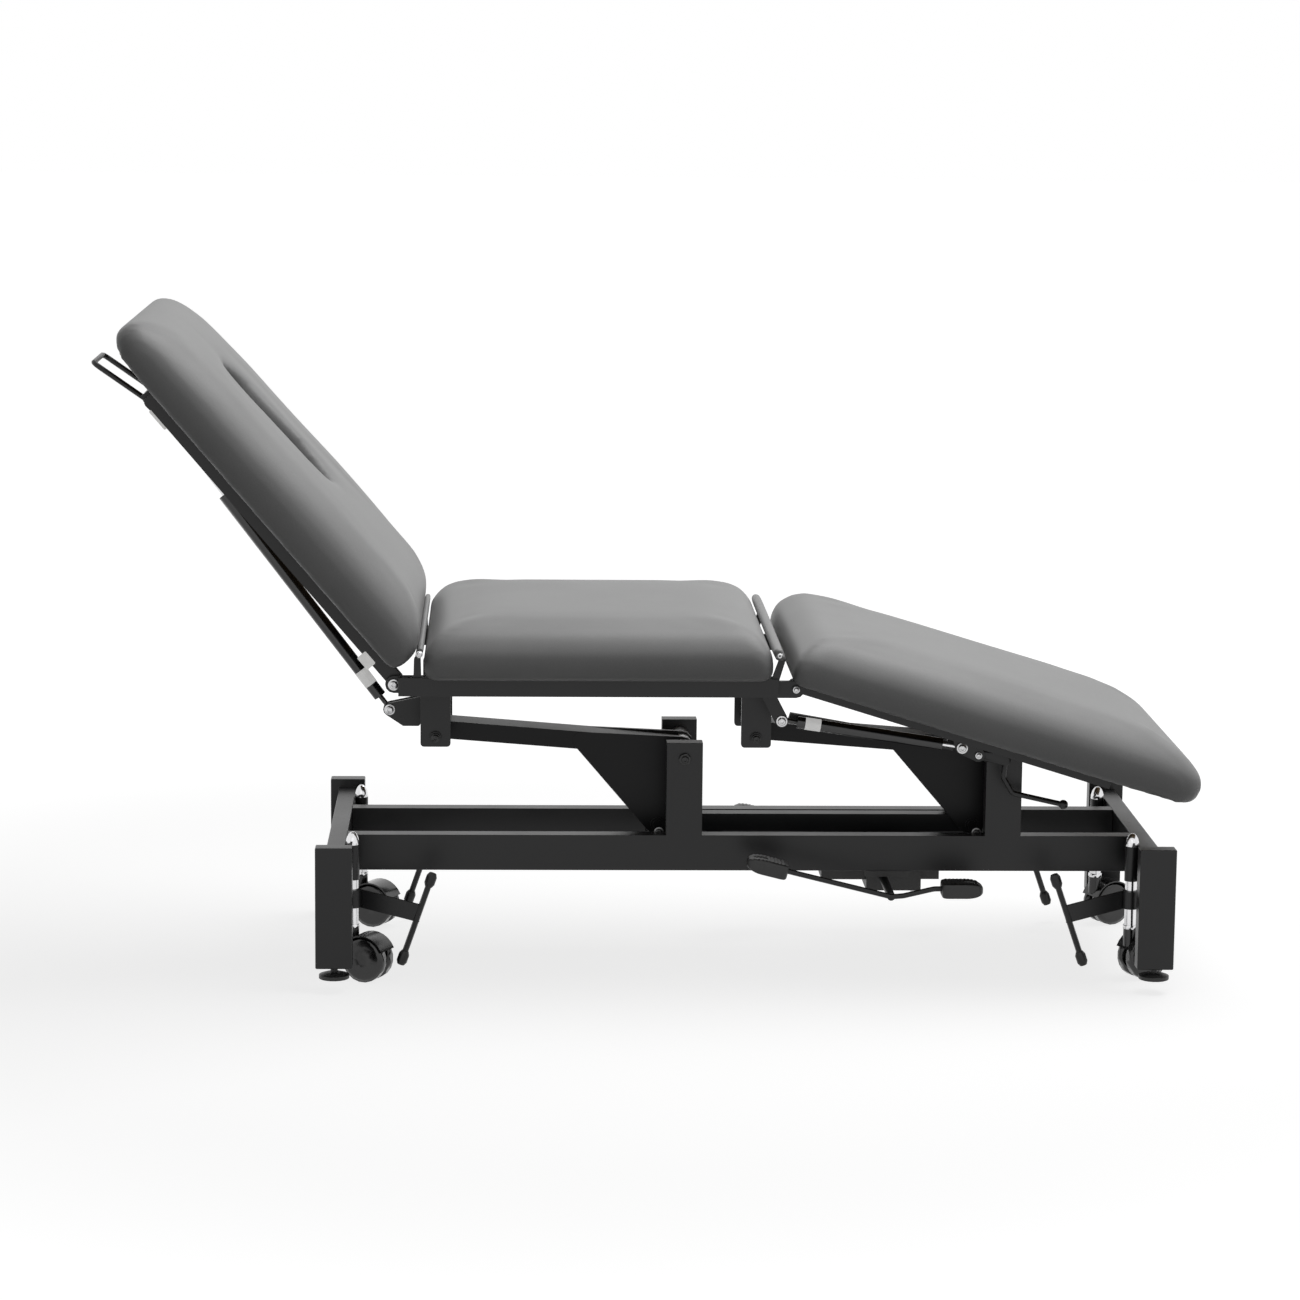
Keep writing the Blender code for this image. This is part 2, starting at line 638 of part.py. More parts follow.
# The lever's arm is a flat plate on edge, and a slanting bar with a knob at each end crosses its tip
def lever_mesh(side, inward):
    tip = Vector((inward * LEVER_REACH, side * LEVER_OFFSET, LEVER_HUB_TOP - LEVER_HUB_HEIGHT / 2 - LEVER_DROP))
    plan = Vector((tip.x, tip.y))
    length = plan.length
    direction = plan.normalized()
    across = Vector((-direction.y, direction.x)) * LEVER_PLATE_THICKNESS / 2
    bottom = LEVER_HUB_TOP - LEVER_HUB_HEIGHT
    plate = bmesh.new()
    rings = []
    for distance, drop in ((STEM_RADIUS + WELD_DEPTH, 0), (length, LEVER_DROP)):
        middle = direction * distance
        corners = [(middle - across, bottom - drop), (middle + across, bottom - drop),
                   (middle + across, LEVER_HUB_TOP - drop), (middle - across, LEVER_HUB_TOP - drop)]
        rings.append([plate.verts.new((spot.x, spot.y, z)) for spot, z in corners])
    close_rings(plate, rings)
    upper = tip + Vector((inward * LEVER_UPPER_RUN, 0, LEVER_UPPER_RISE))
    lower = tip - Vector((inward * LEVER_LOWER_RUN, 0, LEVER_LOWER_DROP))
    slant = (upper - lower).normalized()
    knob = [(KNOB_END_RADIUS, -KNOB_LENGTH / 2), (KNOB_RADIUS, -KNOB_LENGTH / 4),
            (KNOB_RADIUS, KNOB_LENGTH / 4), (KNOB_END_RADIUS, KNOB_LENGTH / 2)]
    hub_ends = [(0, 0, z) for z in (bottom, LEVER_HUB_TOP)]
    cut_ends = [(0, 0, z) for z in (bottom - CUT_OVERRUN, LEVER_HUB_TOP + CUT_OVERRUN)]
    shells = [rod(*hub_ends, LEVER_HUB_RADIUS), plate, rod(lower, upper, LEVER_BAR_RADIUS),
              turned(knob, upper, slant), turned(knob, lower, slant)]
    return joined(f"castor_lever_{side}_{inward}", shells, [rod(*cut_ends, bore_radius(STEM_RADIUS))])


# Hood and wheels in the castor's own frame: swivel axis at the origin, the wheels trailing to +X
def hood_mesh():
    axle_z = WHEEL_RADIUS
    inner = WHEEL_RADIUS + HOOD_CLEARANCE
    outer = inner + HOOD_THICKNESS
    centre = (CASTOR_TRAIL, axle_z)
    span = (HOOD_BACK_ANGLE, HOOD_FRONT_ANGLE)
    arch = circle_points(centre, outer, WHEEL_SIDES // 2, *span)
    arch += circle_points(centre, inner, WHEEL_SIDES // 2, *span)[::-1]
    half_width = CASTOR_WEB / 2 + GAP + WHEEL_WIDTH
    web = circle_points(centre, inner + HOOD_THICKNESS / 2, WHEEL_SIDES // 2, *span)
    web += circle_points(centre, AXLE_RADIUS + HOOD_THICKNESS * 2, ROUND_SIDES // 2, pi, 2 * pi)
    socket_top = STEM_BOTTOM - GAP
    shells = [
        prism(arch, -half_width, half_width),
        prism(web, -CASTOR_WEB / 2, CASTOR_WEB / 2),
        rod((0, 0, axle_z + inner / 2), (0, 0, socket_top), SOCKET_RADIUS),
        rod((0, 0, axle_z + inner / 2), (0, 0, socket_top + SOCKET_PIN_LENGTH), SOCKET_PIN_RADIUS),
    ]
    wheel_room = [
        rod((CASTOR_TRAIL, side * (CASTOR_WEB / 2), axle_z),
            (CASTOR_TRAIL, side * (half_width + CUT_OVERRUN), axle_z), inner - GAP, WHEEL_SIDES)
        for side in (-1, 1)
    ]
    axle_ends = [(CASTOR_TRAIL, side * CASTOR_WEB, axle_z) for side in (-1, 1)]
    return joined("castor_hood", shells, [*wheel_room, rod(*axle_ends, bore_radius(AXLE_RADIUS))])


def wheels_mesh():
    inside = CASTOR_WEB / 2 + GAP
    tread = WHEEL_RADIUS / cos(pi / WHEEL_SIDES)
    face = [(tread, 0), (tread, WHEEL_WIDTH - WHEEL_DISH), (WHEEL_RIM_RADIUS, WHEEL_WIDTH),
            (AXLE_RADIUS * 2, WHEEL_WIDTH - WHEEL_DISH)]
    return joined("castor_wheels", [
        turned(face, (0, inside, 0), (0, 1, 0), WHEEL_SIDES),
        turned(face, (0, -inside, 0), (0, -1, 0), WHEEL_SIDES),
        rod((0, -inside - WELD_DEPTH, 0), (0, inside + WELD_DEPTH, 0), AXLE_RADIUS),
    ])


def build_castors(base):
    sleeve, stem, hood, wheels = sleeve_mesh(), stem_mesh(), hood_mesh(), wheels_mesh()
    beam_face = BASE_LENGTH / 2 - LEG_LENGTH / 2 - RAIL_THICKNESS / 2
    stem_x = beam_face - SLEEVE_RADIUS - GAP
    for end, inward in (("head", 1), ("foot", -1)):
        for side_name, side in (("near", -1), ("far", 1)):
            label = f"{end}_{side_name}"
            spot = (-inward * stem_x, side * CASTOR_SIDE_Y, 0)
            place(f"castor_sleeve_{label}", sleeve, base, "black_enamel", spot)
            lift = axis_empty(f"castor_{label}_axis", base, spot)
            place(f"castor_stem_{label}", stem, lift, "bright_steel")
            place(f"castor_lever_{label}", lever_mesh(side, inward), lift, "black_rubber")
            yaw = -inward * CASTOR_YAW
            swivel = axis_empty(f"castor_{label}_swivel", lift, (0, 0, 0), yaw=yaw)
            place(f"castor_hood_{label}", hood, swivel, "black_plastic")
            place(f"castor_wheels_{label}", wheels, swivel, "black_rubber", (CASTOR_TRAIL, 0, WHEEL_RADIUS))


# Lift arms, in frames with their origins on the posts' pivots
def arm_mesh():
    length = hypot(ARM_REACH, ARM_RISE)
    along = Vector((-ARM_REACH, ARM_RISE)) / length
    above = Vector((ARM_RISE, ARM_REACH)) / length * ARM_HEIGHT / 2
    tip = along * length
    near_tip = along * (length - WELD_DEPTH)
    outline = [tuple(spot) for spot in (-above, above, near_tip + above, near_tip - above)]
    gusset_circles = [((0, 0), CRANK_END_RADIUS), ((-CRANK_BACK, -CRANK_DROP), CRANK_END_RADIUS),
                      (tuple(along * (GUSSET_REACH - HUB_RADIUS)), ARM_HEIGHT / 2 - ARM_SIDE_PROUD)]
    gusset = belt_outline(gusset_circles)
    half = ARM_WIDTH / 2
    lower_hub = RAIL_SPREAD / 2 - RAIL_THICKNESS - GAP
    upper_hub = BRACKET_SPREAD / 2 - BRACKET_THICKNESS - GAP
    crank = (-CRANK_BACK, -CRANK_DROP)
    washer = half + CRANK_WASHER_HEIGHT
    shells = [
        prism(outline, -half, half),
        prism(gusset, -half - ARM_SIDE_PROUD, -half + ARM_SIDE_THICKNESS),
        prism(gusset, half - ARM_SIDE_THICKNESS, half + ARM_SIDE_PROUD),
        rod((0, -lower_hub, 0), (0, lower_hub, 0), HUB_RADIUS),
        rod((tip.x, -upper_hub, tip.y), (tip.x, upper_hub, tip.y), HUB_RADIUS),
        rod((crank[0], -washer, crank[1]), (crank[0], washer, crank[1]), CRANK_BOLT_RADIUS),
    ]
    for side in (-1, 1):
        start = (crank[0], side * (half - WELD_DEPTH), crank[1])
        end = (crank[0], side * (washer - WELD_DEPTH / 2), crank[1])
        shells.append(rod(start, end, CRANK_WASHER_RADIUS))
    bore = bore_radius(PIVOT_BOLT_RADIUS)
    long_cut = RAIL_SPREAD / 2
    cuts = [rod((x, -long_cut, z), (x, long_cut, z), bore) for x, z in ((0, 0), tuple(tip))]
    return joined("lift_arm", shells, cuts)


def tie_rod_mesh():
    half = TIE_ROD_SIDE / 2
    lug_x = RAM_PIN_X - (HEAD_PIVOT_X - CRANK_BACK)
    lug_z = RAM_PIN_HEIGHT - (PIVOT_HEIGHT - CRANK_DROP)
    lug = belt_outline([((lug_x, lug_z), TIE_LUG_RADIUS), ((lug_x, -half), TIE_LUG_RADIUS)])
    inside = RAM_EYE_WIDTH / 2 + GAP
    shells = [block((-TIE_ROD_END, -half, -half), (PIVOT_SPACING + TIE_ROD_END, half, half))]
    for side in (-1, 1):
        faces = sorted((side * inside, side * (inside + TIE_LUG_THICKNESS)))
        shells.append(prism(lug, *faces))
    pin_end = inside + TIE_LUG_THICKNESS + WELD_DEPTH
    shells.append(rod((lug_x, -pin_end, lug_z), (lug_x, pin_end, lug_z), RAM_PIN_RADIUS))
    bore = bore_radius(CRANK_BOLT_RADIUS)
    cuts = [rod((x, -half - CUT_OVERRUN, 0), (x, half + CUT_OVERRUN, 0), bore) for x in (0, PIVOT_SPACING)]
    return joined("tie_rod", shells, cuts)


def build_lift(base):
    arm = arm_mesh()
    head_axis = axis_empty("lift_head_axis", base, (HEAD_PIVOT_X, 0, PIVOT_HEIGHT))
    foot_axis = axis_empty("lift_foot_axis", base, (HEAD_PIVOT_X + PIVOT_SPACING, 0, PIVOT_HEIGHT))
    place("lift_arm_head", arm, head_axis, "black_enamel")
    place("lift_arm_foot", arm, foot_axis, "black_enamel")
    tie_axis = axis_empty("tie_rod_axis", head_axis, (-CRANK_BACK, 0, -CRANK_DROP))
    place("tie_rod", tie_rod_mesh(), tie_axis, "black_enamel")
    return head_axis, tie_axis


# Pump: a fixed housing under the rails, a swinging cylinder and a ram pinned to the tie rod
def housing_mesh():
    block_half, tank_half = PUMP_BLOCK_WIDTH / 2, PUMP_TANK_WIDTH / 2
    rail_half = RAIL_SPREAD / 2
    flange_top = RAIL_TOP - RAIL_HEIGHT - GAP
    flange_bottom = flange_top - PUMP_FLANGE_THICKNESS
    lug_outside = PUMP_LUG_INSIDE + PUMP_LUG_THICKNESS
    body_end = PUMP_AXIS_X + PUMP_LUG_RADIUS
    lug = belt_outline([((PUMP_AXIS_X, PUMP_AXIS_HEIGHT), PUMP_LUG_RADIUS),
                        ((PUMP_AXIS_X, PUMP_BODY_TOP - PUMP_LUG_RADIUS), PUMP_LUG_RADIUS)])
    shells = [
        block((PUMP_BLOCK_START_X, -block_half, PUMP_BLOCK_BOTTOM), (PUMP_BLOCK_END_X, block_half, PUMP_BODY_TOP)),
        block((PUMP_TANK_START_X, -tank_half, PUMP_TANK_BOTTOM),
              (PUMP_BLOCK_START_X + WELD_DEPTH, tank_half, PUMP_BODY_TOP)),
        block((PUMP_BLOCK_END_X - WELD_DEPTH, -lug_outside, PUMP_TANK_BOTTOM), (body_end, lug_outside, PUMP_BODY_TOP)),
    ]
    for side in (-1, 1):
        inner, outer = side * (block_half - WELD_DEPTH), side * rail_half
        low_y, high_y = sorted((inner, outer))
        shells.append(block((PUMP_FLANGE_START_X, low_y, flange_bottom), (PUMP_FLANGE_END_X, high_y, flange_top)))
        shells.append(prism(lug, *sorted((side * PUMP_LUG_INSIDE, side * lug_outside))))
    shells.append(rod((PUMP_AXIS_X, -lug_outside - WELD_DEPTH, PUMP_AXIS_HEIGHT),
                      (PUMP_AXIS_X, lug_outside + WELD_DEPTH, PUMP_AXIS_HEIGHT), PUMP_PIN_RADIUS))
    shaft_reach = block_half + CUT_OVERRUN
    pin_top = VALVE_PIN_BOTTOM + VALVE_PIN_LENGTH + VALVE_PIN_TRAVEL + GAP
    cuts = [
        rod((PEDAL_AXIS_X, -shaft_reach, PEDAL_AXIS_HEIGHT), (PEDAL_AXIS_X, shaft_reach, PEDAL_AXIS_HEIGHT),
            bore_radius(PEDAL_SHAFT_RADIUS)),
        rod((VALVE_PIN_X, 0, PUMP_BLOCK_BOTTOM - CUT_OVERRUN), (VALVE_PIN_X, 0, pin_top),
            bore_radius(VALVE_PIN_RADIUS)),
    ]
    return joined("pump_housing", shells, cuts)


def build_pump(base, tie_axis):
    place("pump_housing", housing_mesh(), base, "cast_iron")
    pin = rod((0, 0, 0), (0, 0, VALVE_PIN_LENGTH), VALVE_PIN_RADIUS)
    place("pump_valve_pin", joined("pump_valve_pin", [pin]), base, "bright_steel", (VALVE_PIN_X, 0, VALVE_PIN_BOTTOM))
    run = PUMP_AXIS_X - RAM_PIN_X
    rise = RAM_PIN_HEIGHT - PUMP_AXIS_HEIGHT
    distance = hypot(run, rise)
    tilt = atan2(rise, run)
    eye = PUMP_EYE_WIDTH / 2
    cylinder_start = -PUMP_EYE_RADIUS
    mouth = -PUMP_CYLINDER_LENGTH
    cylinder = joined("pump_cylinder", [
        rod((0, -eye, 0), (0, eye, 0), PUMP_EYE_RADIUS),
        rod((cylinder_start / 2, 0, 0), (mouth, 0, 0), PUMP_CYLINDER_RADIUS),
    ], [
        rod((0, -eye - CUT_OVERRUN, 0), (0, eye + CUT_OVERRUN, 0), bore_radius(PUMP_PIN_RADIUS)),
        rod((cylinder_start * 2, 0, 0), (mouth - CUT_OVERRUN, 0, 0), PUMP_CYLINDER_RADIUS - PUMP_CYLINDER_WALL),
    ])
    cylinder_axis = axis_empty("pump_cylinder_axis", base, (PUMP_AXIS_X, 0, PUMP_AXIS_HEIGHT), turn=tilt)
    place("pump_cylinder", cylinder, cylinder_axis, "black_cylinder")
    ram_eye = RAM_EYE_WIDTH / 2
    rod_end = distance - PUMP_CYLINDER_LENGTH + RAM_INSERTION
    ram = joined("pump_ram", [
        rod((0, -ram_eye, 0), (0, ram_eye, 0), RAM_EYE_RADIUS),
        rod((RAM_EYE_RADIUS / 2 + RAM_PIN_RADIUS / 2, 0, 0), (rod_end, 0, 0), RAM_RADIUS),
    ], [rod((0, -ram_eye - CUT_OVERRUN, 0), (0, ram_eye + CUT_OVERRUN, 0), bore_radius(RAM_PIN_RADIUS))])
    spot = (RAM_PIN_X - (HEAD_PIVOT_X - CRANK_BACK), 0, RAM_PIN_HEIGHT - (PIVOT_HEIGHT - CRANK_DROP))
    ram_axis = axis_empty("pump_ram_axis", tie_axis, spot, turn=tilt)
    place("pump_ram", ram, ram_axis, "bright_steel")


# Pedals: one rocker made of a cross shaft and two bent rods, with a rubber pad on each of the four ends
def pedal_mesh():
    head = Vector((-PEDAL_HEAD_REACH, 0, PEDAL_HEAD_RISE))
    head_end = head + head.normalized() * PAD_SOCKET_DEPTH
    foot_end = PEDAL_FOOT_REACH + PAD_SOCKET_DEPTH
    shells = [rod((0, -PEDAL_SIDE_Y, 0), (0, PEDAL_SIDE_Y, 0), PEDAL_SHAFT_RADIUS)]
    for y in (-PEDAL_SIDE_Y, PEDAL_SIDE_Y):
        corners = [(head_end.x, y, head_end.z), (0, y, 0), (PEDAL_KNEE_REACH, y, PEDAL_KNEE_RISE),
                   (PEDAL_FOOT_BEND_REACH, y, PEDAL_FOOT_RISE), (foot_end, y, PEDAL_FOOT_RISE)]
        shells.append(swept(rounded_path(corners, PEDAL_BEND_RADIUS), PEDAL_ROD_RADIUS))
    return joined("pedal_rocker", shells)


# A pad in its own frame: the rod enters at the origin, and the pad runs to +X
def pad_mesh():
    half_width = PAD_WIDTH / 2
    half_height = PAD_THICKNESS / 2
    outline = rounded_rectangle((0, -half_width), (PAD_LENGTH, half_width), PAD_CORNER_RADIUS)
    shell = prism(outline, -half_height, half_height, "Z")
    socket = rod((-CUT_OVERRUN, 0, 0), (PAD_SOCKET_DEPTH + GAP, 0, 0), bore_radius(PEDAL_ROD_RADIUS))
    slot_start = PAD_LENGTH - PAD_SLOT_LENGTH - PAD_CORNER_RADIUS
    slot = rounded_rectangle((slot_start, -PAD_SLOT_WIDTH / 2), (slot_start + PAD_SLOT_LENGTH, PAD_SLOT_WIDTH / 2),
                             PAD_SLOT_WIDTH / 2 - GAP)
    return joined("pedal_pad", [shell], [socket, prism(slot, -half_height - CUT_OVERRUN, half_height + CUT_OVERRUN, "Z")])


def build_pedals(base):
    axis = axis_empty("pedal_axis", base, (PEDAL_AXIS_X, 0, PEDAL_AXIS_HEIGHT))
    place("pedal_rocker", pedal_mesh(), axis, "black_enamel")
    pad = pad_mesh()
    head_slope = atan2(PEDAL_HEAD_RISE, PEDAL_HEAD_REACH)
    for side_name, y in (("near", -PEDAL_SIDE_Y), ("far", PEDAL_SIDE_Y)):
        place(f"pedal_pad_head_{side_name}", pad, axis, "black_rubber",
              (-PEDAL_HEAD_REACH, y, PEDAL_HEAD_RISE), (0, -head_slope, pi))
        place(f"pedal_pad_foot_{side_name}", pad, axis, "black_rubber", (PEDAL_FOOT_REACH, y, PEDAL_FOOT_RISE))


# Seat section, in a frame with its origin on the head arm's upper pivot
def seat_frame_mesh():
    half_spread = SEAT_BAR_SPREAD / 2
    bottom, top = SEAT_BAR_RISE, SEAT_BAR_RISE + SEAT_BAR_SIDE
    head_end, foot_end = -SEAT_BAR_HEAD_OVERHANG, PIVOT_SPACING + SEAT_BAR_FOOT_OVERHANG
    inner = half_spread - SEAT_BAR_SIDE
    shells = []
    for side in (-1, 1):
        low_y, high_y = sorted((side * inner, side * half_spread))
        shells.append(block((head_end, low_y, bottom), (foot_end, high_y, top)))
        shells += hinge_shells(side, inner, head_end, -BACK_HINGE_BACK, BACK_HINGE_RISE)
        shells += hinge_shells(side, inner, foot_end, PIVOT_SPACING + LEG_HINGE_FORWARD, LEG_HINGE_RISE)
    half_bracket = BRACKET_WIDTH / 2
    outside = BRACKET_SPREAD / 2
    for pivot_x in (0, PIVOT_SPACING):
        shells.append(block((pivot_x - SEAT_BAR_SIDE / 2, -inner - WELD_DEPTH, bottom),
                            (pivot_x + SEAT_BAR_SIDE / 2, inner + WELD_DEPTH, top)))
        plate = rounded_rectangle((pivot_x - half_bracket, -BRACKET_BELOW_PIVOT),
                                  (pivot_x + half_bracket, bottom + WELD_DEPTH), BRACKET_CORNER_RADIUS)
        for side in (-1, 1):
            shells.append(prism(plate, *sorted((side * outside, side * (outside - BRACKET_THICKNESS)))))
        bolt_end = outside + BOLT_HEAD_HEIGHT
        shells.append(rod((pivot_x, -outside, 0), (pivot_x, outside, 0), PIVOT_BOLT_RADIUS))
        for side in (-1, 1):
            start = (pivot_x, side * (outside - WELD_DEPTH), 0)
            shells.append(rod(start, (pivot_x, side * bolt_end, 0), BOLT_HEAD_RADIUS))
    shells += back_spring_mount_shells()
    shells += leg_spring_mount_shells()
    shells += filler_rod_shells(-FILLER_HEAD_BACK, top)
    shells += filler_rod_shells(foot_end + FILLER_FOOT_OUTSET, top)
    return joined("seat_frame", shells)


# A plate inside the bar's end, holding the hinge bolt that goes through the section's tube
def hinge_shells(side, inner, bar_end, hinge_x, hinge_z):
    inward = 1 if hinge_x < bar_end else -1
    root = (bar_end + inward * HINGE_PLATE_RADIUS, hinge_z)
    plate = belt_outline([((hinge_x, hinge_z), HINGE_PLATE_RADIUS), (root, HINGE_PLATE_RADIUS)])
    outer_y = inner + WELD_DEPTH / 2
    plate_inside = inner - HINGE_PLATE_THICKNESS
    tube_inside = SECTION_TUBE_SPREAD / 2 - SECTION_TUBE - WELD_DEPTH
    head_end = inner + BOLT_HEAD_HEIGHT
    return [
        prism(plate, *sorted((side * plate_inside, side * outer_y))),
        rod((hinge_x, side * tube_inside, hinge_z), (hinge_x, side * inner, hinge_z), HINGE_BOLT_RADIUS),
        rod((hinge_x, side * (inner - WELD_DEPTH), hinge_z), (hinge_x, side * head_end, hinge_z), HINGE_HEAD_RADIUS),
    ]


def back_spring_mount_shells():
    foot = (-BACK_SPRING_FOOT_BACK, BACK_SPRING_FOOT_RISE)
    cross_x = -BRACKET_WIDTH / 2
    cross_low, cross_high = SPRING_CROSS_RISE, SPRING_CROSS_RISE + SPRING_CROSS_HEIGHT
    inside = BRACKET_SPREAD / 2 - BRACKET_THICKNESS / 2
    outside = SPRING_PLATE_INSIDE + SPRING_PLATE_THICKNESS
    root_x = cross_x + SPRING_CROSS_THICKNESS / 2
    plate = belt_outline([
        (foot, SPRING_PLATE_RADIUS), ((root_x, cross_low + WELD_DEPTH), WELD_DEPTH),
        ((root_x, cross_high - WELD_DEPTH), WELD_DEPTH),
        ((-SPRING_PLATE_TOE_BACK, SPRING_PLATE_TOE_RISE), WELD_DEPTH),
        ((-SPRING_PLATE_HEEL_BACK, SPRING_PLATE_TOE_RISE), WELD_DEPTH)])
    shells = [block((cross_x, -inside, cross_low), (cross_x + SPRING_CROSS_THICKNESS, inside, cross_high))]
    for side in (-1, 1):
        shells.append(prism(plate, *sorted((side * SPRING_PLATE_INSIDE, side * outside))))
    pin_end = outside + WELD_DEPTH
    shells.append(rod((foot[0], -pin_end, foot[1]), (foot[0], pin_end, foot[1]), SPRING_PIN_RADIUS))
    return shells


def leg_spring_mount_shells():
    start = (PIVOT_SPACING + LEG_SPRING_START_FORWARD, LEG_SPRING_START_RISE)
    root = (PIVOT_SPACING, SEAT_BAR_RISE + SEAT_BAR_SIDE / 2)
    lug = belt_outline([(start, SPRING_PLATE_RADIUS), (root, SPRING_PLATE_RADIUS)])
    outside = SPRING_PLATE_INSIDE + SPRING_PLATE_THICKNESS
    shells = []
    for side in (-1, 1):
        faces = sorted((LEG_SPRING_Y + side * SPRING_PLATE_INSIDE, LEG_SPRING_Y + side * outside))
        shells.append(prism(lug, *faces))
    ends = [(start[0], LEG_SPRING_Y + side * (outside + WELD_DEPTH), start[1]) for side in (-1, 1)]
    shells.append(rod(*ends, SPRING_PIN_RADIUS))
    return shells


def filler_rod_shells(x, bar_top):
    half = FILLER_ROD_SPREAD / 2
    z = bar_top + FILLER_ROD_RISE
    shells = [rod((x, -half, z), (x, half, z), FILLER_ROD_RADIUS)]
    tab_reach = FILLER_TAB_WIDTH / 2
    for side in (-1, 1):
        inner, outer = sorted((side * (half - FILLER_TAB_THICKNESS), side * half))
        foot_x = min(x, PIVOT_SPACING + SEAT_BAR_FOOT_OVERHANG - tab_reach)
        tab = belt_outline([((x, z), FILLER_ROD_RADIUS + WELD_DEPTH / 2), ((foot_x, bar_top - tab_reach), tab_reach)])
        shells.append(prism(tab, inner, outer))
    return shells


# A cushion: rings of a rounded plan, drawn in at the bottom and rolled over to a crowned top.
# The rolls at the two ends and the thickness along the length are the section's own.
def cushion_shell(low_x, high_x, corners, thickness_at, rolls, bottom_at):
    half_width = CUSHION_WIDTH / 2
    angles = [pi / 2 * step / ROUND_STEPS for step in range(ROUND_STEPS + 1)]
    roll_height_share = ROLL_TOP_SHARE - WALL_SHARE
    levels = [(height, draw * CUSHION_DRAW_IN, 0.0) for height, draw in DRAW_SHARES]
    levels += [(WALL_SHARE + roll_height_share * sin(a), 0.0, 1 - cos(a)) for a in angles]
    levels += [(height, 0.0, reach) for height, reach in CROWN_SHARES]
    shell = bmesh.new()
    rings = []
    for height, draw, roll in levels:
        low = (low_x + draw + roll * rolls[0], -half_width + draw + roll * CUSHION_SIDE_RADIUS)
        high = (high_x - draw - roll * rolls[1], half_width - draw - roll * CUSHION_SIDE_RADIUS)
        outline = round_cornered(low, high, *corners, LONG_STEPS, SHORT_STEPS)
        rings.append([shell.verts.new((x, y, bottom_at(x) * (1 - height) + height * thickness_at(x)))
                      for x, y in outline])
    close_rings(shell, rings)
    return shell


def eased(shares, position):
    spot = min(max(position, 0), 1) * (len(shares) - 1)
    index = min(int(spot), len(shares) - 2)
    part = spot - index
    part = part * part * (3 - 2 * part)
    return shares[index] * (1 - part) + shares[index + 1] * part


def board_shells(low_x, high_x, grow):
    half = CUSHION_WIDTH / 2 - BOARD_INSET + grow
    outline = rounded_rectangle((low_x + BOARD_INSET - grow, -half), (high_x - BOARD_INSET + grow, half),
                                BOARD_CORNER_RADIUS)
    start = -CUT_OVERRUN if grow else 0
    return prism(outline, start, BOARD_THICKNESS + grow, "Z")


def build_seat(head_axis):
    axis = axis_empty("seat_axis", head_axis, (-ARM_REACH, 0, ARM_RISE))
    place("seat_frame", seat_frame_mesh(), axis, "black_enamel")
    rest = SEAT_BAR_RISE + SEAT_BAR_SIDE + GAP
    low_x = -SEAT_CUSHION_HEAD_OVERHANG
    high_x = low_x + SEAT_CUSHION_LENGTH
    board = joined("seat_board", [board_shells(low_x, high_x, 0)])
    place("seat_board", board, axis, "plywood", (0, 0, rest))
    corners = (CUSHION_INNER_CORNER, CUSHION_INNER_CORNER)
    rolls = (SEAT_END_RADIUS, SEAT_END_RADIUS)
    shell = cushion_shell(low_x, high_x, corners, lambda x: SEAT_THICKNESS, rolls, lambda x: 0.0)
    cushion = joined("seat_cushion", [shell], [board_shells(low_x, high_x, GAP)])
    place("seat_cushion", cushion, axis, "grey_vinyl", (0, 0, rest))
    build_filler_pads(axis)
    return axis


def build_filler_pads(axis):
    half_thickness = FILLER_PAD_THICKNESS / 2
    half_width = FILLER_PAD_WIDTH / 2
    bottom = FILLER_ROD_RADIUS + WELD_DEPTH / 2 + GAP
    outline = rounded_rectangle((-half_thickness, bottom), (half_thickness, bottom + FILLER_PAD_HEIGHT),
                                half_thickness - GAP)
    pad = joined("filler_pad", [prism(outline, -half_width, half_width)])
    rod_z = SEAT_BAR_RISE + SEAT_BAR_SIDE + FILLER_ROD_RISE
    foot_x = PIVOT_SPACING + SEAT_BAR_FOOT_OVERHANG + FILLER_FOOT_OUTSET
    place("filler_pad_head", pad, axis, "grey_vinyl", (-FILLER_HEAD_BACK, 0, rod_z), (0, FILLER_HEAD_LEAN, 0))
    place("filler_pad_foot", pad, axis, "grey_vinyl", (foot_x, 0, rod_z), (0, FILLER_FOOT_LEAN, 0))


# Back section
def back_frame_mesh():
    outer = SECTION_TUBE_SPREAD / 2
    top = BACK_BOARD_RISE - GAP
    bottom = top - SECTION_TUBE
    shells, cuts = [], []
    for side in (-1, 1):
        low_y, high_y = sorted((side * outer, side * (outer - SECTION_TUBE)))
        shells.append(block((-BACK_FRAME_LENGTH, low_y, bottom), (0, high_y, top)))
        shells.append(rod((0, low_y, 0), (0, high_y, 0), HINGE_PLATE_RADIUS))
        cuts.append(rod((0, low_y - CUT_OVERRUN, 0), (0, high_y + CUT_OVERRUN, 0), bore_radius(HINGE_BOLT_RADIUS)))
    reach = outer - SECTION_TUBE + WELD_DEPTH
    for start in BACK_CROSS_STARTS:
        shells.append(block((-start - SECTION_TUBE, -reach, bottom), (-start, reach, top)))
    return joined("back_frame", shells, cuts)


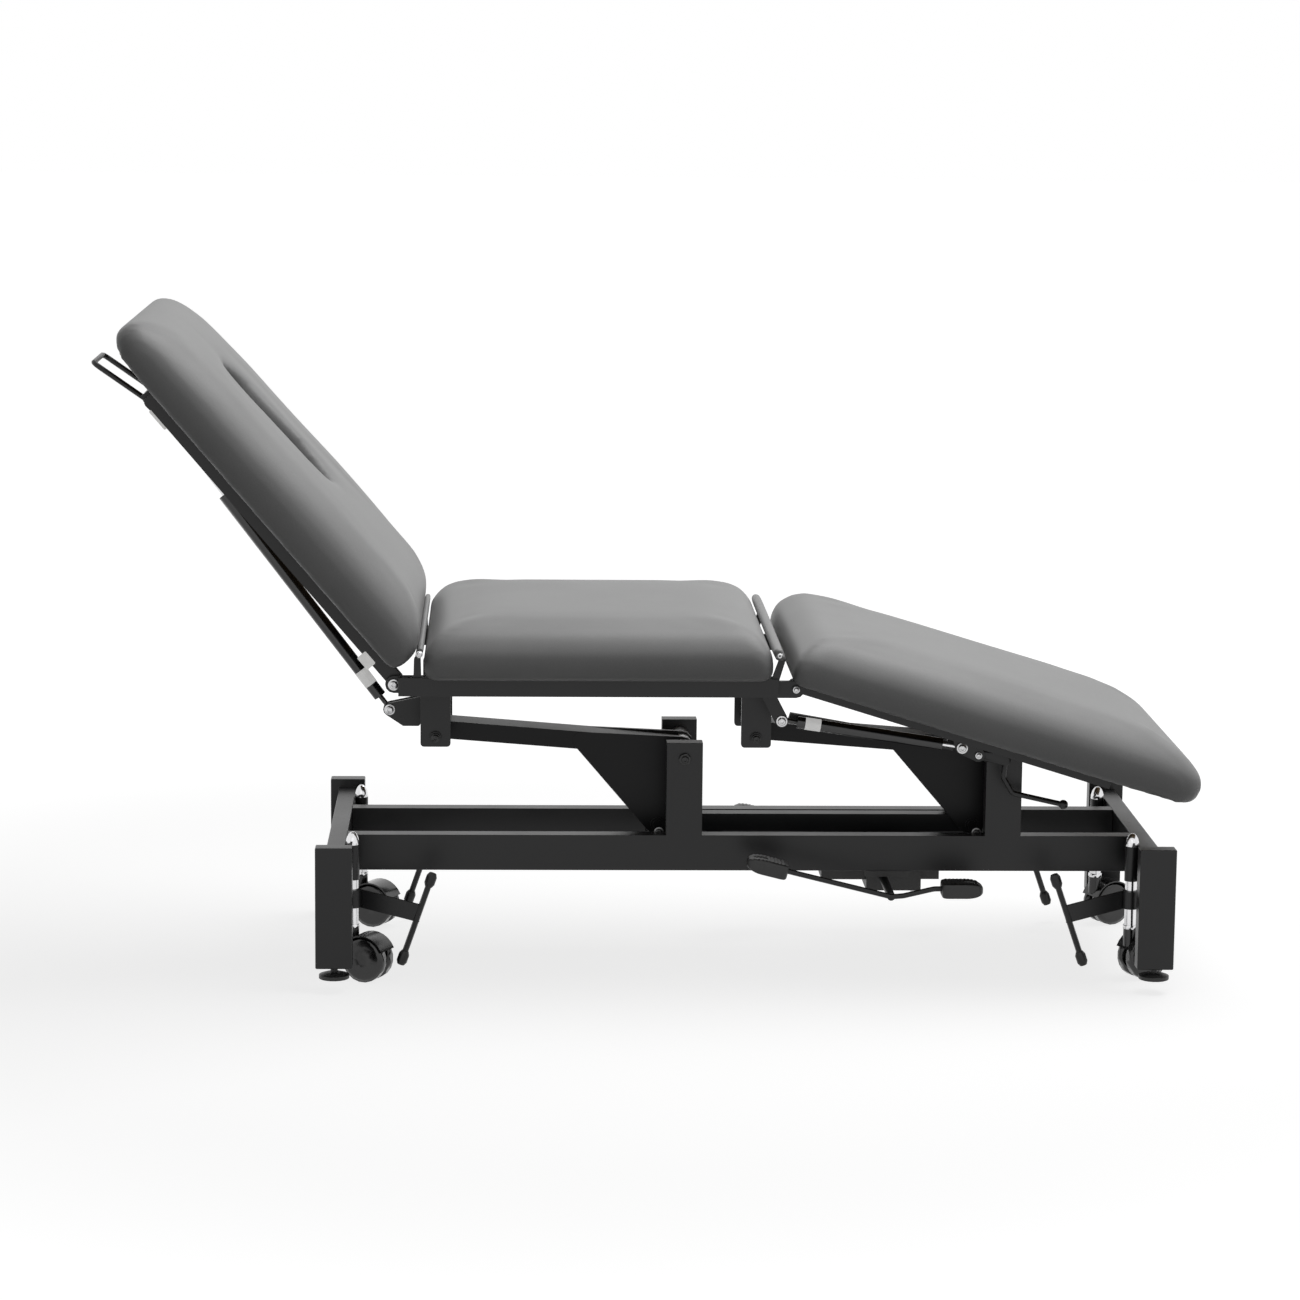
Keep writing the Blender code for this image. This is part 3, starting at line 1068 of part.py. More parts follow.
# The sheet bracket under the head end carries the handle's pins and the gas spring's upper pin
def head_bracket_mesh():
    top = BACK_BOARD_RISE - SECTION_TUBE - GAP * 2
    bottom = -HANDLE_PIVOT_DROP - HANDLE_EYE_RADIUS
    half = BRACKET_HALF_WIDTH
    handle = (-HANDLE_PIVOT_REACH, -HANDLE_PIVOT_DROP)
    spring = (-BACK_SPRING_TOP_REACH, -BACK_SPRING_TOP_DROP)
    shells = [block((-BRACKET_END, -half, top - BRACKET_SHEET), (-BRACKET_START, half, top))]
    cheek = belt_outline([(handle, HANDLE_EYE_RADIUS), ((-BRACKET_END + WELD_DEPTH, top - WELD_DEPTH), WELD_DEPTH),
                          ((-BRACKET_START - WELD_DEPTH, top - WELD_DEPTH), WELD_DEPTH),
                          ((-BRACKET_START - WELD_DEPTH, -HANDLE_PIVOT_DROP), WELD_DEPTH)])
    spring_ear = belt_outline([(spring, SPRING_PLATE_RADIUS), ((spring[0], top - WELD_DEPTH), SPRING_PLATE_RADIUS)])
    ear_trim = (-BRACKET_END, -half, top), (-BRACKET_START, half, top + SPRING_PLATE_RADIUS * 2)
    ear_outside = SPRING_PLATE_INSIDE + SPRING_PLATE_THICKNESS
    for side in (-1, 1):
        shells.append(prism(cheek, *sorted((side * half, side * (half - BRACKET_SHEET)))))
        shells.append(prism(spring_ear, *sorted((side * SPRING_PLATE_INSIDE, side * ear_outside))))
        inner = HANDLE_SPREAD / 2 - HANDLE_EYE_THICKNESS
        shells.append(rod((handle[0], side * (inner - WELD_DEPTH), handle[1]),
                          (handle[0], side * (half + WELD_DEPTH), handle[1]), HANDLE_PIN_RADIUS))
    pin_end = ear_outside + WELD_DEPTH
    shells.append(rod((spring[0], -pin_end, spring[1]), (spring[0], pin_end, spring[1]), SPRING_PIN_RADIUS))
    return joined("back_head_bracket", shells, [block(*ear_trim)])


def handle_mesh():
    half = HANDLE_SPREAD / 2 - HANDLE_BAR_RADIUS
    eye_outside = HANDLE_SPREAD / 2
    corners = [(-HANDLE_EYE_RADIUS / 2, -half, 0), (-HANDLE_LENGTH, -half, 0),
               (-HANDLE_LENGTH, half, 0), (-HANDLE_EYE_RADIUS / 2, half, 0)]
    shells = [swept(rounded_path(corners, HANDLE_BEND_RADIUS), HANDLE_BAR_RADIUS)]
    cuts = []
    for side in (-1, 1):
        faces = sorted((side * eye_outside, side * (eye_outside - HANDLE_BAR_RADIUS * 2)))
        shells.append(rod((0, faces[0], 0), (0, faces[1], 0), HANDLE_EYE_RADIUS))
        cuts.append(rod((0, faces[0] - CUT_OVERRUN, 0), (0, faces[1] + CUT_OVERRUN, 0), bore_radius(HANDLE_PIN_RADIUS)))
    return joined("back_release_handle", shells, cuts)


# A gas spring's cylinder runs from its eye at the origin to -X, with an open mouth; its rod runs back to +X
def spring_cylinder_mesh(name, length, radius, bore, direction):
    eye = SPRING_EYE_WIDTH / 2
    shells = [
        rod((0, -eye, 0), (0, eye, 0), SPRING_EYE_RADIUS),
        rod((direction * SPRING_EYE_RADIUS / 2 + direction * SPRING_PIN_RADIUS / 2, 0, 0),
            (direction * SPRING_CAP_LENGTH, 0, 0), SPRING_SHANK_RADIUS),
        rod((direction * (SPRING_CAP_LENGTH - WELD_DEPTH), 0, 0), (direction * length, 0, 0), radius),
    ]
    cuts = [
        rod((0, -eye - CUT_OVERRUN, 0), (0, eye + CUT_OVERRUN, 0), bore_radius(SPRING_PIN_RADIUS)),
        rod((direction * (SPRING_CAP_LENGTH + WELD_DEPTH), 0, 0), (direction * (length + CUT_OVERRUN), 0, 0), bore),
    ]
    return joined(name, shells, cuts)


def spring_rod_mesh(name, length, radius, direction):
    eye = SPRING_EYE_WIDTH / 2
    shells = [
        rod((0, -eye, 0), (0, eye, 0), SPRING_EYE_RADIUS),
        rod((direction * (SPRING_EYE_RADIUS + SPRING_PIN_RADIUS) / 2, 0, 0), (direction * length, 0, 0), radius),
    ]
    cut = rod((0, -eye - CUT_OVERRUN, 0), (0, eye + CUT_OVERRUN, 0), bore_radius(SPRING_PIN_RADIUS))
    return joined(name, shells, [cut])


def build_back(seat_axis):
    hinge = (-BACK_HINGE_BACK, 0, BACK_HINGE_RISE)
    axis = axis_empty("back_axis", seat_axis, hinge, turn=BACK_ANGLE)
    place("back_frame", back_frame_mesh(), axis, "black_enamel")
    low_x = -BACK_CUSHION_START - BACK_CUSHION_LENGTH
    high_x = -BACK_CUSHION_START
    hole_low = (-FACE_HOLE_START - FACE_HOLE_LENGTH, -FACE_HOLE_WIDTH / 2)
    hole_high = (-FACE_HOLE_START, FACE_HOLE_WIDTH / 2)
    spot = (0, 0, BACK_BOARD_RISE)

    def hole_shell(grow):
        outline = rounded_rectangle((hole_low[0] - grow, hole_low[1] - grow),
                                    (hole_high[0] + grow, hole_high[1] + grow), FACE_HOLE_WIDTH / 2 - GAP)
        return prism(outline, -CUT_OVERRUN * 2, BACK_THICKNESS + CUT_OVERRUN * 2, "Z")

    board = joined("back_board", [board_shells(low_x, high_x, 0)], [hole_shell(FACE_HOLE_BOARD_MARGIN)])
    place("back_board", board, axis, "plywood", spot)

    def thickness_at(x):
        return BACK_THICKNESS * eased(BACK_THICKNESS_SHARES, (x - low_x) / BACK_CUSHION_LENGTH)

    def bottom_at(x):
        head_part = max(0, 1 - (x - low_x) / BACK_HEAD_RADIUS)
        seat_part = max(0, 1 - (high_x - x) / BACK_HEAD_RADIUS)
        return BACK_HEAD_BOTTOM_LIFT * head_part ** 2 + BACK_SEAT_BOTTOM_LIFT * seat_part ** 2

    corners = (CUSHION_OUTER_CORNER, CUSHION_INNER_CORNER)
    rolls = (BACK_HEAD_RADIUS, BACK_SEAT_RADIUS)
    shell = cushion_shell(low_x, high_x, corners, thickness_at, rolls, bottom_at)
    cushion = joined("back_cushion", [shell], [board_shells(low_x, high_x, GAP), hole_shell(0)])
    place("back_cushion", cushion, axis, "grey_vinyl", spot)
    place("back_head_bracket", head_bracket_mesh(), axis, "black_enamel")
    handle_axis = axis_empty("back_handle_axis", axis, (-HANDLE_PIVOT_REACH, 0, -HANDLE_PIVOT_DROP), turn=-HANDLE_TILT)
    place("back_release_handle", handle_mesh(), handle_axis, "black_rubber")
    build_back_spring(seat_axis, axis)


def build_back_spring(seat_axis, back_axis):
    foot = Vector((-BACK_SPRING_FOOT_BACK, BACK_SPRING_FOOT_RISE))
    reach, drop = BACK_SPRING_TOP_REACH, BACK_SPRING_TOP_DROP
    top = Vector((-BACK_HINGE_BACK - reach * cos(BACK_ANGLE) - drop * sin(BACK_ANGLE),
                  BACK_HINGE_RISE + reach * sin(BACK_ANGLE) - drop * cos(BACK_ANGLE)))
    line = top - foot
    turn = atan2(line.y, -line.x)
    cylinder_axis = axis_empty("back_spring_foot_axis", seat_axis, (foot.x, 0, foot.y), turn=turn)
    cylinder = spring_cylinder_mesh("back_gas_cylinder", BACK_SPRING_LENGTH, BACK_SPRING_RADIUS,
                                    BACK_SPRING_BORE_RADIUS, -1)
    place("back_gas_cylinder", cylinder, cylinder_axis, "black_cylinder")
    rod_axis = axis_empty("back_spring_top_axis", back_axis, (-reach, 0, -drop), turn=turn - BACK_ANGLE)
    rod_length = line.length - BACK_SPRING_LENGTH + BACK_SPRING_INSERTION
    rod_mesh = spring_rod_mesh("back_gas_rod", rod_length, BACK_SPRING_ROD_RADIUS, 1)
    place("back_gas_rod", rod_mesh, rod_axis, "bright_steel")


# Leg section
def leg_frame_mesh():
    outer = SECTION_TUBE_SPREAD / 2
    top = LEG_BOARD_RISE - GAP
    bottom = top - LEG_TUBE_HEIGHT
    shells, cuts = [], []
    for side in (-1, 1):
        low_y, high_y = sorted((side * outer, side * (outer - SECTION_TUBE)))
        shells.append(block((0, low_y, bottom), (LEG_FRAME_LENGTH, high_y, top)))
        shells.append(rod((0, low_y, 0), (0, high_y, 0), HINGE_PLATE_RADIUS))
        cuts.append(rod((0, low_y - CUT_OVERRUN, 0), (0, high_y + CUT_OVERRUN, 0), bore_radius(HINGE_BOLT_RADIUS)))
    reach = outer - SECTION_TUBE + WELD_DEPTH
    for start in LEG_CROSS_STARTS:
        shells.append(block((start, -reach, bottom), (start + SECTION_TUBE, reach, top)))
    spring = (LEG_SPRING_END_X, -LEG_SPRING_END_DROP)
    lever = (LEG_LEVER_PIVOT_X, -LEG_LEVER_PIVOT_DROP)
    middle = LEG_CROSS_STARTS[1] + SECTION_TUBE / 2
    ear = belt_outline([(spring, SPRING_PLATE_RADIUS), (lever, SPRING_PLATE_RADIUS), ((middle, 0), SPRING_PLATE_RADIUS)])
    outside = SPRING_PLATE_INSIDE + SPRING_PLATE_THICKNESS
    for side in (-1, 1):
        shells.append(prism(ear, *sorted((LEG_SPRING_Y + side * SPRING_PLATE_INSIDE, LEG_SPRING_Y + side * outside))))
    for spot in (spring, lever):
        ends = [(spot[0], LEG_SPRING_Y + side * (outside + WELD_DEPTH), spot[1]) for side in (-1, 1)]
        shells.append(rod(*ends, SPRING_PIN_RADIUS))
    shells.append(stop_bar_shell(middle))
    shells.append(stop_bar_drop_shell(middle, bottom))
    return joined("leg_frame", shells, cuts)


# A square bar under the section, from the hinge side back to the middle cross tube
def stop_bar_shell(end_x):
    half = LEG_STOP_BAR_SIDE / 2
    start_z, end_z = -LEG_STOP_BAR_START_DROP, -LEG_STOP_BAR_END_DROP
    outline = [(LEG_STOP_BAR_START_X, start_z - half), (end_x, end_z - half),
               (end_x, end_z + half), (LEG_STOP_BAR_START_X, start_z + half)]
    return prism(outline, LEG_STOP_BAR_Y - half, LEG_STOP_BAR_Y + half)


def stop_bar_drop_shell(middle, tube_bottom):
    half = LEG_STOP_BAR_SIDE / 2
    return block((middle - half, LEG_STOP_BAR_Y - half, -LEG_STOP_BAR_END_DROP - half),
                 (middle + half, LEG_STOP_BAR_Y + half, tube_bottom + WELD_DEPTH))


# The lever is a flat finger between the ear's plates, then a bent rod with a ball knob
def leg_lever_mesh():
    half = SPRING_EYE_WIDTH / 2
    finger_end = (LEG_LEVER_FINGER_RUN, -LEG_LEVER_FINGER_DROP)
    finger = belt_outline([((0, 0), SPRING_EYE_RADIUS), (finger_end, SPRING_EYE_RADIUS)])
    corners = [(LEG_LEVER_FINGER_RUN, 0, -LEG_LEVER_FINGER_DROP), (LEG_LEVER_BEND_RUN, 0, -LEG_LEVER_BEND_DROP),
               (LEG_LEVER_KNEE_RUN, 0, -LEG_LEVER_KNEE_DROP), (LEG_LEVER_GRIP_RUN, 0, -LEG_LEVER_GRIP_DROP)]
    shells = [
        prism(finger, -half, half),
        swept(rounded_path(corners, LEG_LEVER_BEND_RADIUS), LEG_LEVER_ROD_RADIUS),
        ball(corners[-1], LEG_LEVER_BALL_RADIUS),
    ]
    cut = rod((0, -half - CUT_OVERRUN, 0), (0, half + CUT_OVERRUN, 0), bore_radius(SPRING_PIN_RADIUS))
    return joined("leg_release_lever", shells, [cut])


def ball(centre, radius):
    angles = [pi * (step + 1) / (BALL_STEPS + 1) for step in range(BALL_STEPS)]
    profile = [(radius * sin(a), -radius * cos(a)) for a in angles]
    return turned(profile, centre, (1, 0, 0))


def build_leg(seat_axis):
    hinge = (PIVOT_SPACING + LEG_HINGE_FORWARD, 0, LEG_HINGE_RISE)
    axis = axis_empty("leg_axis", seat_axis, hinge, turn=LEG_ANGLE)
    place("leg_frame", leg_frame_mesh(), axis, "black_enamel")
    low_x = LEG_CUSHION_START
    high_x = low_x + LEG_CUSHION_LENGTH
    spot = (0, 0, LEG_BOARD_RISE)
    board = joined("leg_board", [board_shells(low_x, high_x, 0)])
    place("leg_board", board, axis, "plywood", spot)

    def thickness_at(x):
        return LEG_CUSHION_THICKNESS * eased(LEG_THICKNESS_SHARES, (x - low_x) / LEG_CUSHION_LENGTH)

    def bottom_at(x):
        return LEG_FOOT_BOTTOM_LIFT * max(0, 1 - (high_x - x) / BOARD_INSET) ** 2

    corners = (CUSHION_INNER_CORNER, CUSHION_OUTER_CORNER)
    rolls = (LEG_SEAT_RADIUS, LEG_FOOT_RADIUS)
    shell = cushion_shell(low_x, high_x, corners, thickness_at, rolls, bottom_at)
    cushion = joined("leg_cushion", [shell], [board_shells(low_x, high_x, GAP)])
    place("leg_cushion", cushion, axis, "grey_vinyl", spot)
    lever_spot = (LEG_LEVER_PIVOT_X, LEG_SPRING_Y, -LEG_LEVER_PIVOT_DROP)
    lever_axis = axis_empty("leg_lever_axis", axis, lever_spot, turn=-LEG_ANGLE)
    place("leg_release_lever", leg_lever_mesh(), lever_axis, "black_enamel")
    build_leg_spring(seat_axis, axis)


def build_leg_spring(seat_axis, leg_axis):
    start = Vector((PIVOT_SPACING + LEG_SPRING_START_FORWARD, LEG_SPRING_START_RISE))
    reach, drop = LEG_SPRING_END_X, LEG_SPRING_END_DROP
    end = Vector((PIVOT_SPACING + LEG_HINGE_FORWARD + reach * cos(LEG_ANGLE) - drop * sin(LEG_ANGLE),
                  LEG_HINGE_RISE - reach * sin(LEG_ANGLE) - drop * cos(LEG_ANGLE)))
    line = end - start
    turn = atan2(-line.y, line.x)
    cylinder_axis = axis_empty("leg_spring_start_axis", seat_axis, (start.x, LEG_SPRING_Y, start.y), turn=turn)
    cylinder = spring_cylinder_mesh("leg_gas_cylinder", LEG_SPRING_LENGTH, LEG_SPRING_RADIUS,
                                    LEG_SPRING_BORE_RADIUS, 1)
    place("leg_gas_cylinder", cylinder, cylinder_axis, "black_cylinder")
    rod_axis = axis_empty("leg_spring_end_axis", leg_axis, (reach, LEG_SPRING_Y, -drop), turn=turn - LEG_ANGLE)
    rod_length = line.length - LEG_SPRING_LENGTH + LEG_SPRING_INSERTION
    rod_mesh = spring_rod_mesh("leg_gas_rod", rod_length, LEG_SPRING_ROD_RADIUS, -1)
    place("leg_gas_rod", rod_mesh, rod_axis, "bright_steel")


def main():
    clear_scene()
    base = axis_empty("table_base", None, (BASE_CENTRE_X, 0, 0))
    build_rails(base)
    build_pivot_bolts(base)
    build_end_frames(base)
    build_levellers(base)
    build_castors(base)
    head_axis, tie_axis = build_lift(base)
    build_pump(base, tie_axis)
    build_pedals(base)
    seat_axis = build_seat(head_axis)
    build_back(seat_axis)
    build_leg(seat_axis)


main()
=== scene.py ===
import math

import bpy
from mathutils import Matrix, Vector


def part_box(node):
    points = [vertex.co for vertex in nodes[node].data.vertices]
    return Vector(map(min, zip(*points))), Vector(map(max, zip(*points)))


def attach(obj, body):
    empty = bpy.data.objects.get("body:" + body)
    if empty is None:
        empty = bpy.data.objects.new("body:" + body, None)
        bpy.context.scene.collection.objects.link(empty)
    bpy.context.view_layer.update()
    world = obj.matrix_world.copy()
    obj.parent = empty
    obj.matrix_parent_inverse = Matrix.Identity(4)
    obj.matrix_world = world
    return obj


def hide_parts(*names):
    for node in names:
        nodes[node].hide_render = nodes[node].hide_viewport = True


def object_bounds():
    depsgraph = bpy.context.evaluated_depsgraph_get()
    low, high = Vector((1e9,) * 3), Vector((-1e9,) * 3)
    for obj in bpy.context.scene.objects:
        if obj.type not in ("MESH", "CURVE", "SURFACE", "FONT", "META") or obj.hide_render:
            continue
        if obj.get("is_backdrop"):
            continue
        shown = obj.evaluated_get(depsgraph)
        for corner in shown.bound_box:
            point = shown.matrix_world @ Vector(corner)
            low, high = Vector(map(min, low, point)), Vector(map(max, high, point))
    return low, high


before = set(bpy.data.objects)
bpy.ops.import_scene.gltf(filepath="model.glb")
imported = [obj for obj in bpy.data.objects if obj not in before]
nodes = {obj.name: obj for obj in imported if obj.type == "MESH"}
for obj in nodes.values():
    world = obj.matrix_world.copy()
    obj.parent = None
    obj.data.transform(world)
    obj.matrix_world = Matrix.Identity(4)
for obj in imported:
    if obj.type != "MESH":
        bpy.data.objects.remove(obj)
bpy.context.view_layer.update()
print("frame loaded:", len(nodes), "nodes")


# Shader maths: a Wire is one output of a node, and sums on it add Math nodes
class Wire:
    def __init__(self, finish, socket):
        self.finish = finish
        self.socket = socket

    def maths(self, operation, *values):
        return self.finish.node("ShaderNodeMath", {"operation": operation}, dict(enumerate(values)))

    def __add__(self, other):
        return self.maths("ADD", self, other)

    def __sub__(self, other):
        return self.maths("SUBTRACT", self, other)

    def __mul__(self, other):
        return self.maths("MULTIPLY", self, other)

    # 0 below low, 1 above high, smooth between
    def steps(self, low, high):
        settings = {"interpolation_type": "SMOOTHSTEP"}
        return self.finish.node("ShaderNodeMapRange", settings, {0: self, 1: low, 2: high})


class Finish:
    def __init__(self, name):
        self.material = bpy.data.materials.new(name)
        self.material.use_nodes = True
        self.tree = self.material.node_tree
        self.tree.nodes.clear()
        self.out = self.tree.nodes.new("ShaderNodeOutputMaterial")
        self.place = self.node("ShaderNodeTexCoord", {}, {}, "Object")

    def node(self, kind, settings=None, inputs=None, output=0):
        made = self.tree.nodes.new(kind)
        for key, value in (settings or {}).items():
            setattr(made, key, value)
        for key, value in (inputs or {}).items():
            self.feed(made.inputs[key], value)
        return Wire(self, made.outputs[output])

    def feed(self, socket, value):
        if isinstance(value, Wire):
            self.tree.links.new(value.socket, socket)
        elif isinstance(value, tuple) and len(value) == 3 and socket.type == "RGBA":
            socket.default_value = (*value, 1)
        else:
            socket.default_value = value

    def noise(self, scale, detail=3.0, roughness=0.5, stretch=(1, 1, 1)):
        spot = self.node("ShaderNodeMapping", {}, {"Vector": self.place, "Scale": stretch})
        inputs = {"Vector": spot, "Scale": scale, "Detail": detail, "Roughness": roughness}
        return self.node("ShaderNodeTexNoise", {}, inputs, "Fac")

    def cells(self, scale, feature="F1"):
        inputs = {"Vector": self.place, "Scale": scale}
        return self.node("ShaderNodeTexVoronoi", {"feature": feature}, inputs, "Distance")

    def blendColours(self, factor, low, high):
        settings = {"data_type": "RGBA"}
        return self.node("ShaderNodeMix", settings, {0: factor, 6: low, 7: high}, 2)

    def bump(self, height, distance, strength=1.0, normal=None):
        inputs = {"Height": height, "Distance": distance, "Strength": strength}
        if normal:
            inputs["Normal"] = normal
        return self.node("ShaderNodeBump", {}, inputs)

    def surface(self, inputs):
        shader = self.node("ShaderNodeBsdfPrincipled", {}, inputs, "BSDF")
        self.tree.links.new(shader.socket, self.out.inputs["Surface"])
        return self.material


# Upholstery: soft leatherette with a fine pebble grain and a faint sheen
vinylLook = {
    "dark": (0.198, 0.198, 0.198),
    "light": (0.236, 0.236, 0.236),
    "cloudScale": 7.0,
    "cloudShare": 0.7,
    "fleckScale": 420.0,
    "creaseScale": 18.0,
    "creaseDepth": 0.0006,
    "creaseStrength": 0.12,
    "grainScale": 950.0,
    "grainFleck": 0.35,
    "grainDepth": 0.00011,
    "grainStrength": 0.55,
    "roughness": 0.39,
    "cloudRoughness": 0.10,
    "grainRoughness": 0.06,
    "specular": 0.42,
    "sheen": 0.08,
    "sheenRoughness": 0.4,
}
# Between these two noise values a shade goes from its dark to its light colour
shadeLow, shadeHigh = 0.3, 0.7


def makeVinyl():
    look = Finish("greyVinyl")
    cloud = look.noise(vinylLook["cloudScale"])
    fleck = look.noise(vinylLook["fleckScale"], 2.0)
    pebbles = look.cells(vinylLook["grainScale"])
    shade = cloud * vinylLook["cloudShare"] + fleck * (1 - vinylLook["cloudShare"])
    colour = look.blendColours(shade.steps(shadeLow, shadeHigh), vinylLook["dark"], vinylLook["light"])
    crease = look.noise(vinylLook["creaseScale"], 2.0)
    soft = look.bump(crease, vinylLook["creaseDepth"], vinylLook["creaseStrength"])
    height = pebbles + fleck * vinylLook["grainFleck"]
    grain = look.bump(height, vinylLook["grainDepth"], vinylLook["grainStrength"], soft)
    rough = cloud * vinylLook["cloudRoughness"] + pebbles * vinylLook["grainRoughness"]
    return look.surface({
        "Base Color": colour, "Roughness": rough + vinylLook["roughness"], "Normal": grain,
        "Specular IOR Level": vinylLook["specular"], "Sheen Weight": vinylLook["sheen"],
        "Sheen Roughness": vinylLook["sheenRoughness"],
    })


# Powder-coated steel: satin black with an orange-peel skin, and a painted highlight that makes what faces up a
# little lighter
enamelLook = {
    "dark": (0.006, 0.006, 0.0065),
    "light": (0.013, 0.013, 0.0135),
    "cloudScale": 9.0,
    "cloudShare": 0.6,
    # Painted highlight: how much lighter up-facing faces are made, and from which upward share of the normal
    "paintedTopLightShare": 0.35,
    "paintedTopLightFrom": 0.6,
    "speckScale": 240.0,
    "speckEdge": (0.66, 0.74),
    "speckShare": 0.12,
    "shadeRange": (0.2, 1.0),
    "peelScale": 950.0,
    "peelDepth": 0.00005,
    "peelStrength": 0.45,
    "roughness": 0.29,
    "cloudRoughness": 0.12,
    "speckRoughness": 0.08,
}


def makeEnamel(name, specular):
    look = Finish(name)
    peel = look.noise(enamelLook["peelScale"], 2.0)
    cloud = look.noise(enamelLook["cloudScale"], 4.0)
    speck = look.noise(enamelLook["speckScale"], 1.0).steps(*enamelLook["speckEdge"])
    # Painted highlight: faces pointing up are made lighter, standing in for the overhead light on the tops
    facing = look.node("ShaderNodeNewGeometry", {}, {}, "Normal")
    paintedTopLight = look.node("ShaderNodeSeparateXYZ", {}, {0: facing}, "Z").steps(enamelLook["paintedTopLightFrom"], 1.0)
    shade = cloud * enamelLook["cloudShare"] + paintedTopLight * enamelLook["paintedTopLightShare"] + speck * enamelLook["speckShare"]
    colour = look.blendColours(shade.steps(*enamelLook["shadeRange"]), enamelLook["dark"], enamelLook["light"])
    rough = cloud * enamelLook["cloudRoughness"] + speck * enamelLook["speckRoughness"]
    return look.surface({
        "Base Color": colour, "Roughness": rough + enamelLook["roughness"],
        "Normal": look.bump(peel, enamelLook["peelDepth"], enamelLook["peelStrength"]),
        "Specular IOR Level": specular,
    })


# Bare metal: brushed streaks with smudges over them
metalLook = {
    "streakScale": 60.0, "streakShare": 0.6, "smudgeScale": 22.0, "streakRoughness": 0.10, "smudgeRoughness": 0.10,
    "skinDepth": 0.00004, "skinStrength": 0.35,
}


def makeMetal(name, low, high, roughness, brush):
    look = Finish(name)
    streaks = look.noise(metalLook["streakScale"], 4.0, 0.6, brush)
    smudge = look.noise(metalLook["smudgeScale"])
    shade = streaks * metalLook["streakShare"] + smudge * (1 - metalLook["streakShare"])
    colour = look.blendColours(shade.steps(shadeLow, shadeHigh), low, high)
    rough = streaks * metalLook["streakRoughness"] + smudge * metalLook["smudgeRoughness"]
    skin = look.bump(streaks, metalLook["skinDepth"], metalLook["skinStrength"])
    base = roughness - metalLook["smudgeRoughness"]
    return look.surface({"Base Color": colour, "Metallic": 1.0, "Roughness": rough + base, "Normal": skin})


# Moulded plastic, paint and rubber: a grained skin with soft clouds
plasticLook = {
    "cloudScale": 30.0, "cloudShare": 0.7, "shadeRange": (0.3, 0.75), "cloudRoughness": 0.12, "grainRoughness": 0.06,
    "meanRoughness": 0.09, "skinStrength": 0.5, "coatRoughness": 0.12,
}


def makePlastic(name, dark, light, roughness, grainScale, grainDepth, coat=0.0):
    look = Finish(name)
    grain = look.noise(grainScale, 2.0)
    cloud = look.noise(plasticLook["cloudScale"])
    shade = cloud * plasticLook["cloudShare"] + grain * (1 - plasticLook["cloudShare"])
    colour = look.blendColours(shade.steps(*plasticLook["shadeRange"]), dark, light)
    rough = cloud * plasticLook["cloudRoughness"] + grain * plasticLook["grainRoughness"]
    skin = look.bump(grain, grainDepth, plasticLook["skinStrength"])
    base = roughness - plasticLook["meanRoughness"]
    return look.surface({"Base Color": colour, "Roughness": rough + base, "Normal": skin, "Coat Weight": coat,
                         "Coat Roughness": plasticLook["coatRoughness"]})


# Birch boards under the cushions: long grain with pores
woodLook = {
    "grainScale": 38.0, "grainStretch": (0.35, 6.0, 6.0), "poreScale": 260.0, "poreStretch": (0.12, 3.0, 3.0),
    "poreEdge": (0.6, 0.72), "poreShare": 0.55, "dark": (0.30, 0.19, 0.10), "light": (0.50, 0.36, 0.21),
    "pore": (0.16, 0.095, 0.05), "roughness": 0.55, "grainRoughness": 0.15, "grainHeight": 0.6,
    "depth": 0.0002, "strength": 0.4,
}


def makePlywood():
    look = Finish("boardWood")
    grain = look.noise(woodLook["grainScale"], 5.0, 0.6, woodLook["grainStretch"])
    pores = look.noise(woodLook["poreScale"], 2.0, 0.5, woodLook["poreStretch"]).steps(*woodLook["poreEdge"])
    colour = look.blendColours(grain.steps(shadeLow, shadeHigh), woodLook["dark"], woodLook["light"])
    colour = look.blendColours(pores * woodLook["poreShare"], colour, woodLook["pore"])
    rough = grain * woodLook["grainRoughness"] + woodLook["roughness"]
    skin = look.bump(grain * woodLook["grainHeight"] - pores, woodLook["depth"], woodLook["strength"])
    return look.surface({"Base Color": colour, "Roughness": rough, "Normal": skin})


# Cast pump body: painted over a sand-cast skin
castLook = {
    "lumpScale": 330.0, "cloudScale": 24.0, "dark": (0.012, 0.012, 0.012), "light": (0.035, 0.034, 0.033),
    "roughness": 0.38, "lumpRoughness": 0.2, "depth": 0.0005, "strength": 0.6,
}


def makeCasting():
    look = Finish("castIron")
    lumps = look.noise(castLook["lumpScale"], 4.0, 0.6)
    cloud = look.noise(castLook["cloudScale"])
    colour = look.blendColours(cloud.steps(shadeLow, shadeHigh), castLook["dark"], castLook["light"])
    rough = lumps * castLook["lumpRoughness"] + castLook["roughness"]
    skin = look.bump(lumps, castLook["depth"], castLook["strength"])
    return look.surface({"Base Color": colour, "Roughness": rough, "Normal": skin})


# Blank stickers: matt paper, a little creased, with enough glow to stay pale in the shade under the couch
paperLook = {
    "cloudScale": 90.0, "crumpleScale": 160.0, "shadeRange": (0.3, 0.8), "dark": (0.84, 0.84, 0.83),
    "light": (0.93, 0.93, 0.92), "roughness": 0.4, "cloudRoughness": 0.2, "depth": 0.0003, "strength": 0.4,
    "glow": 0.42,
}


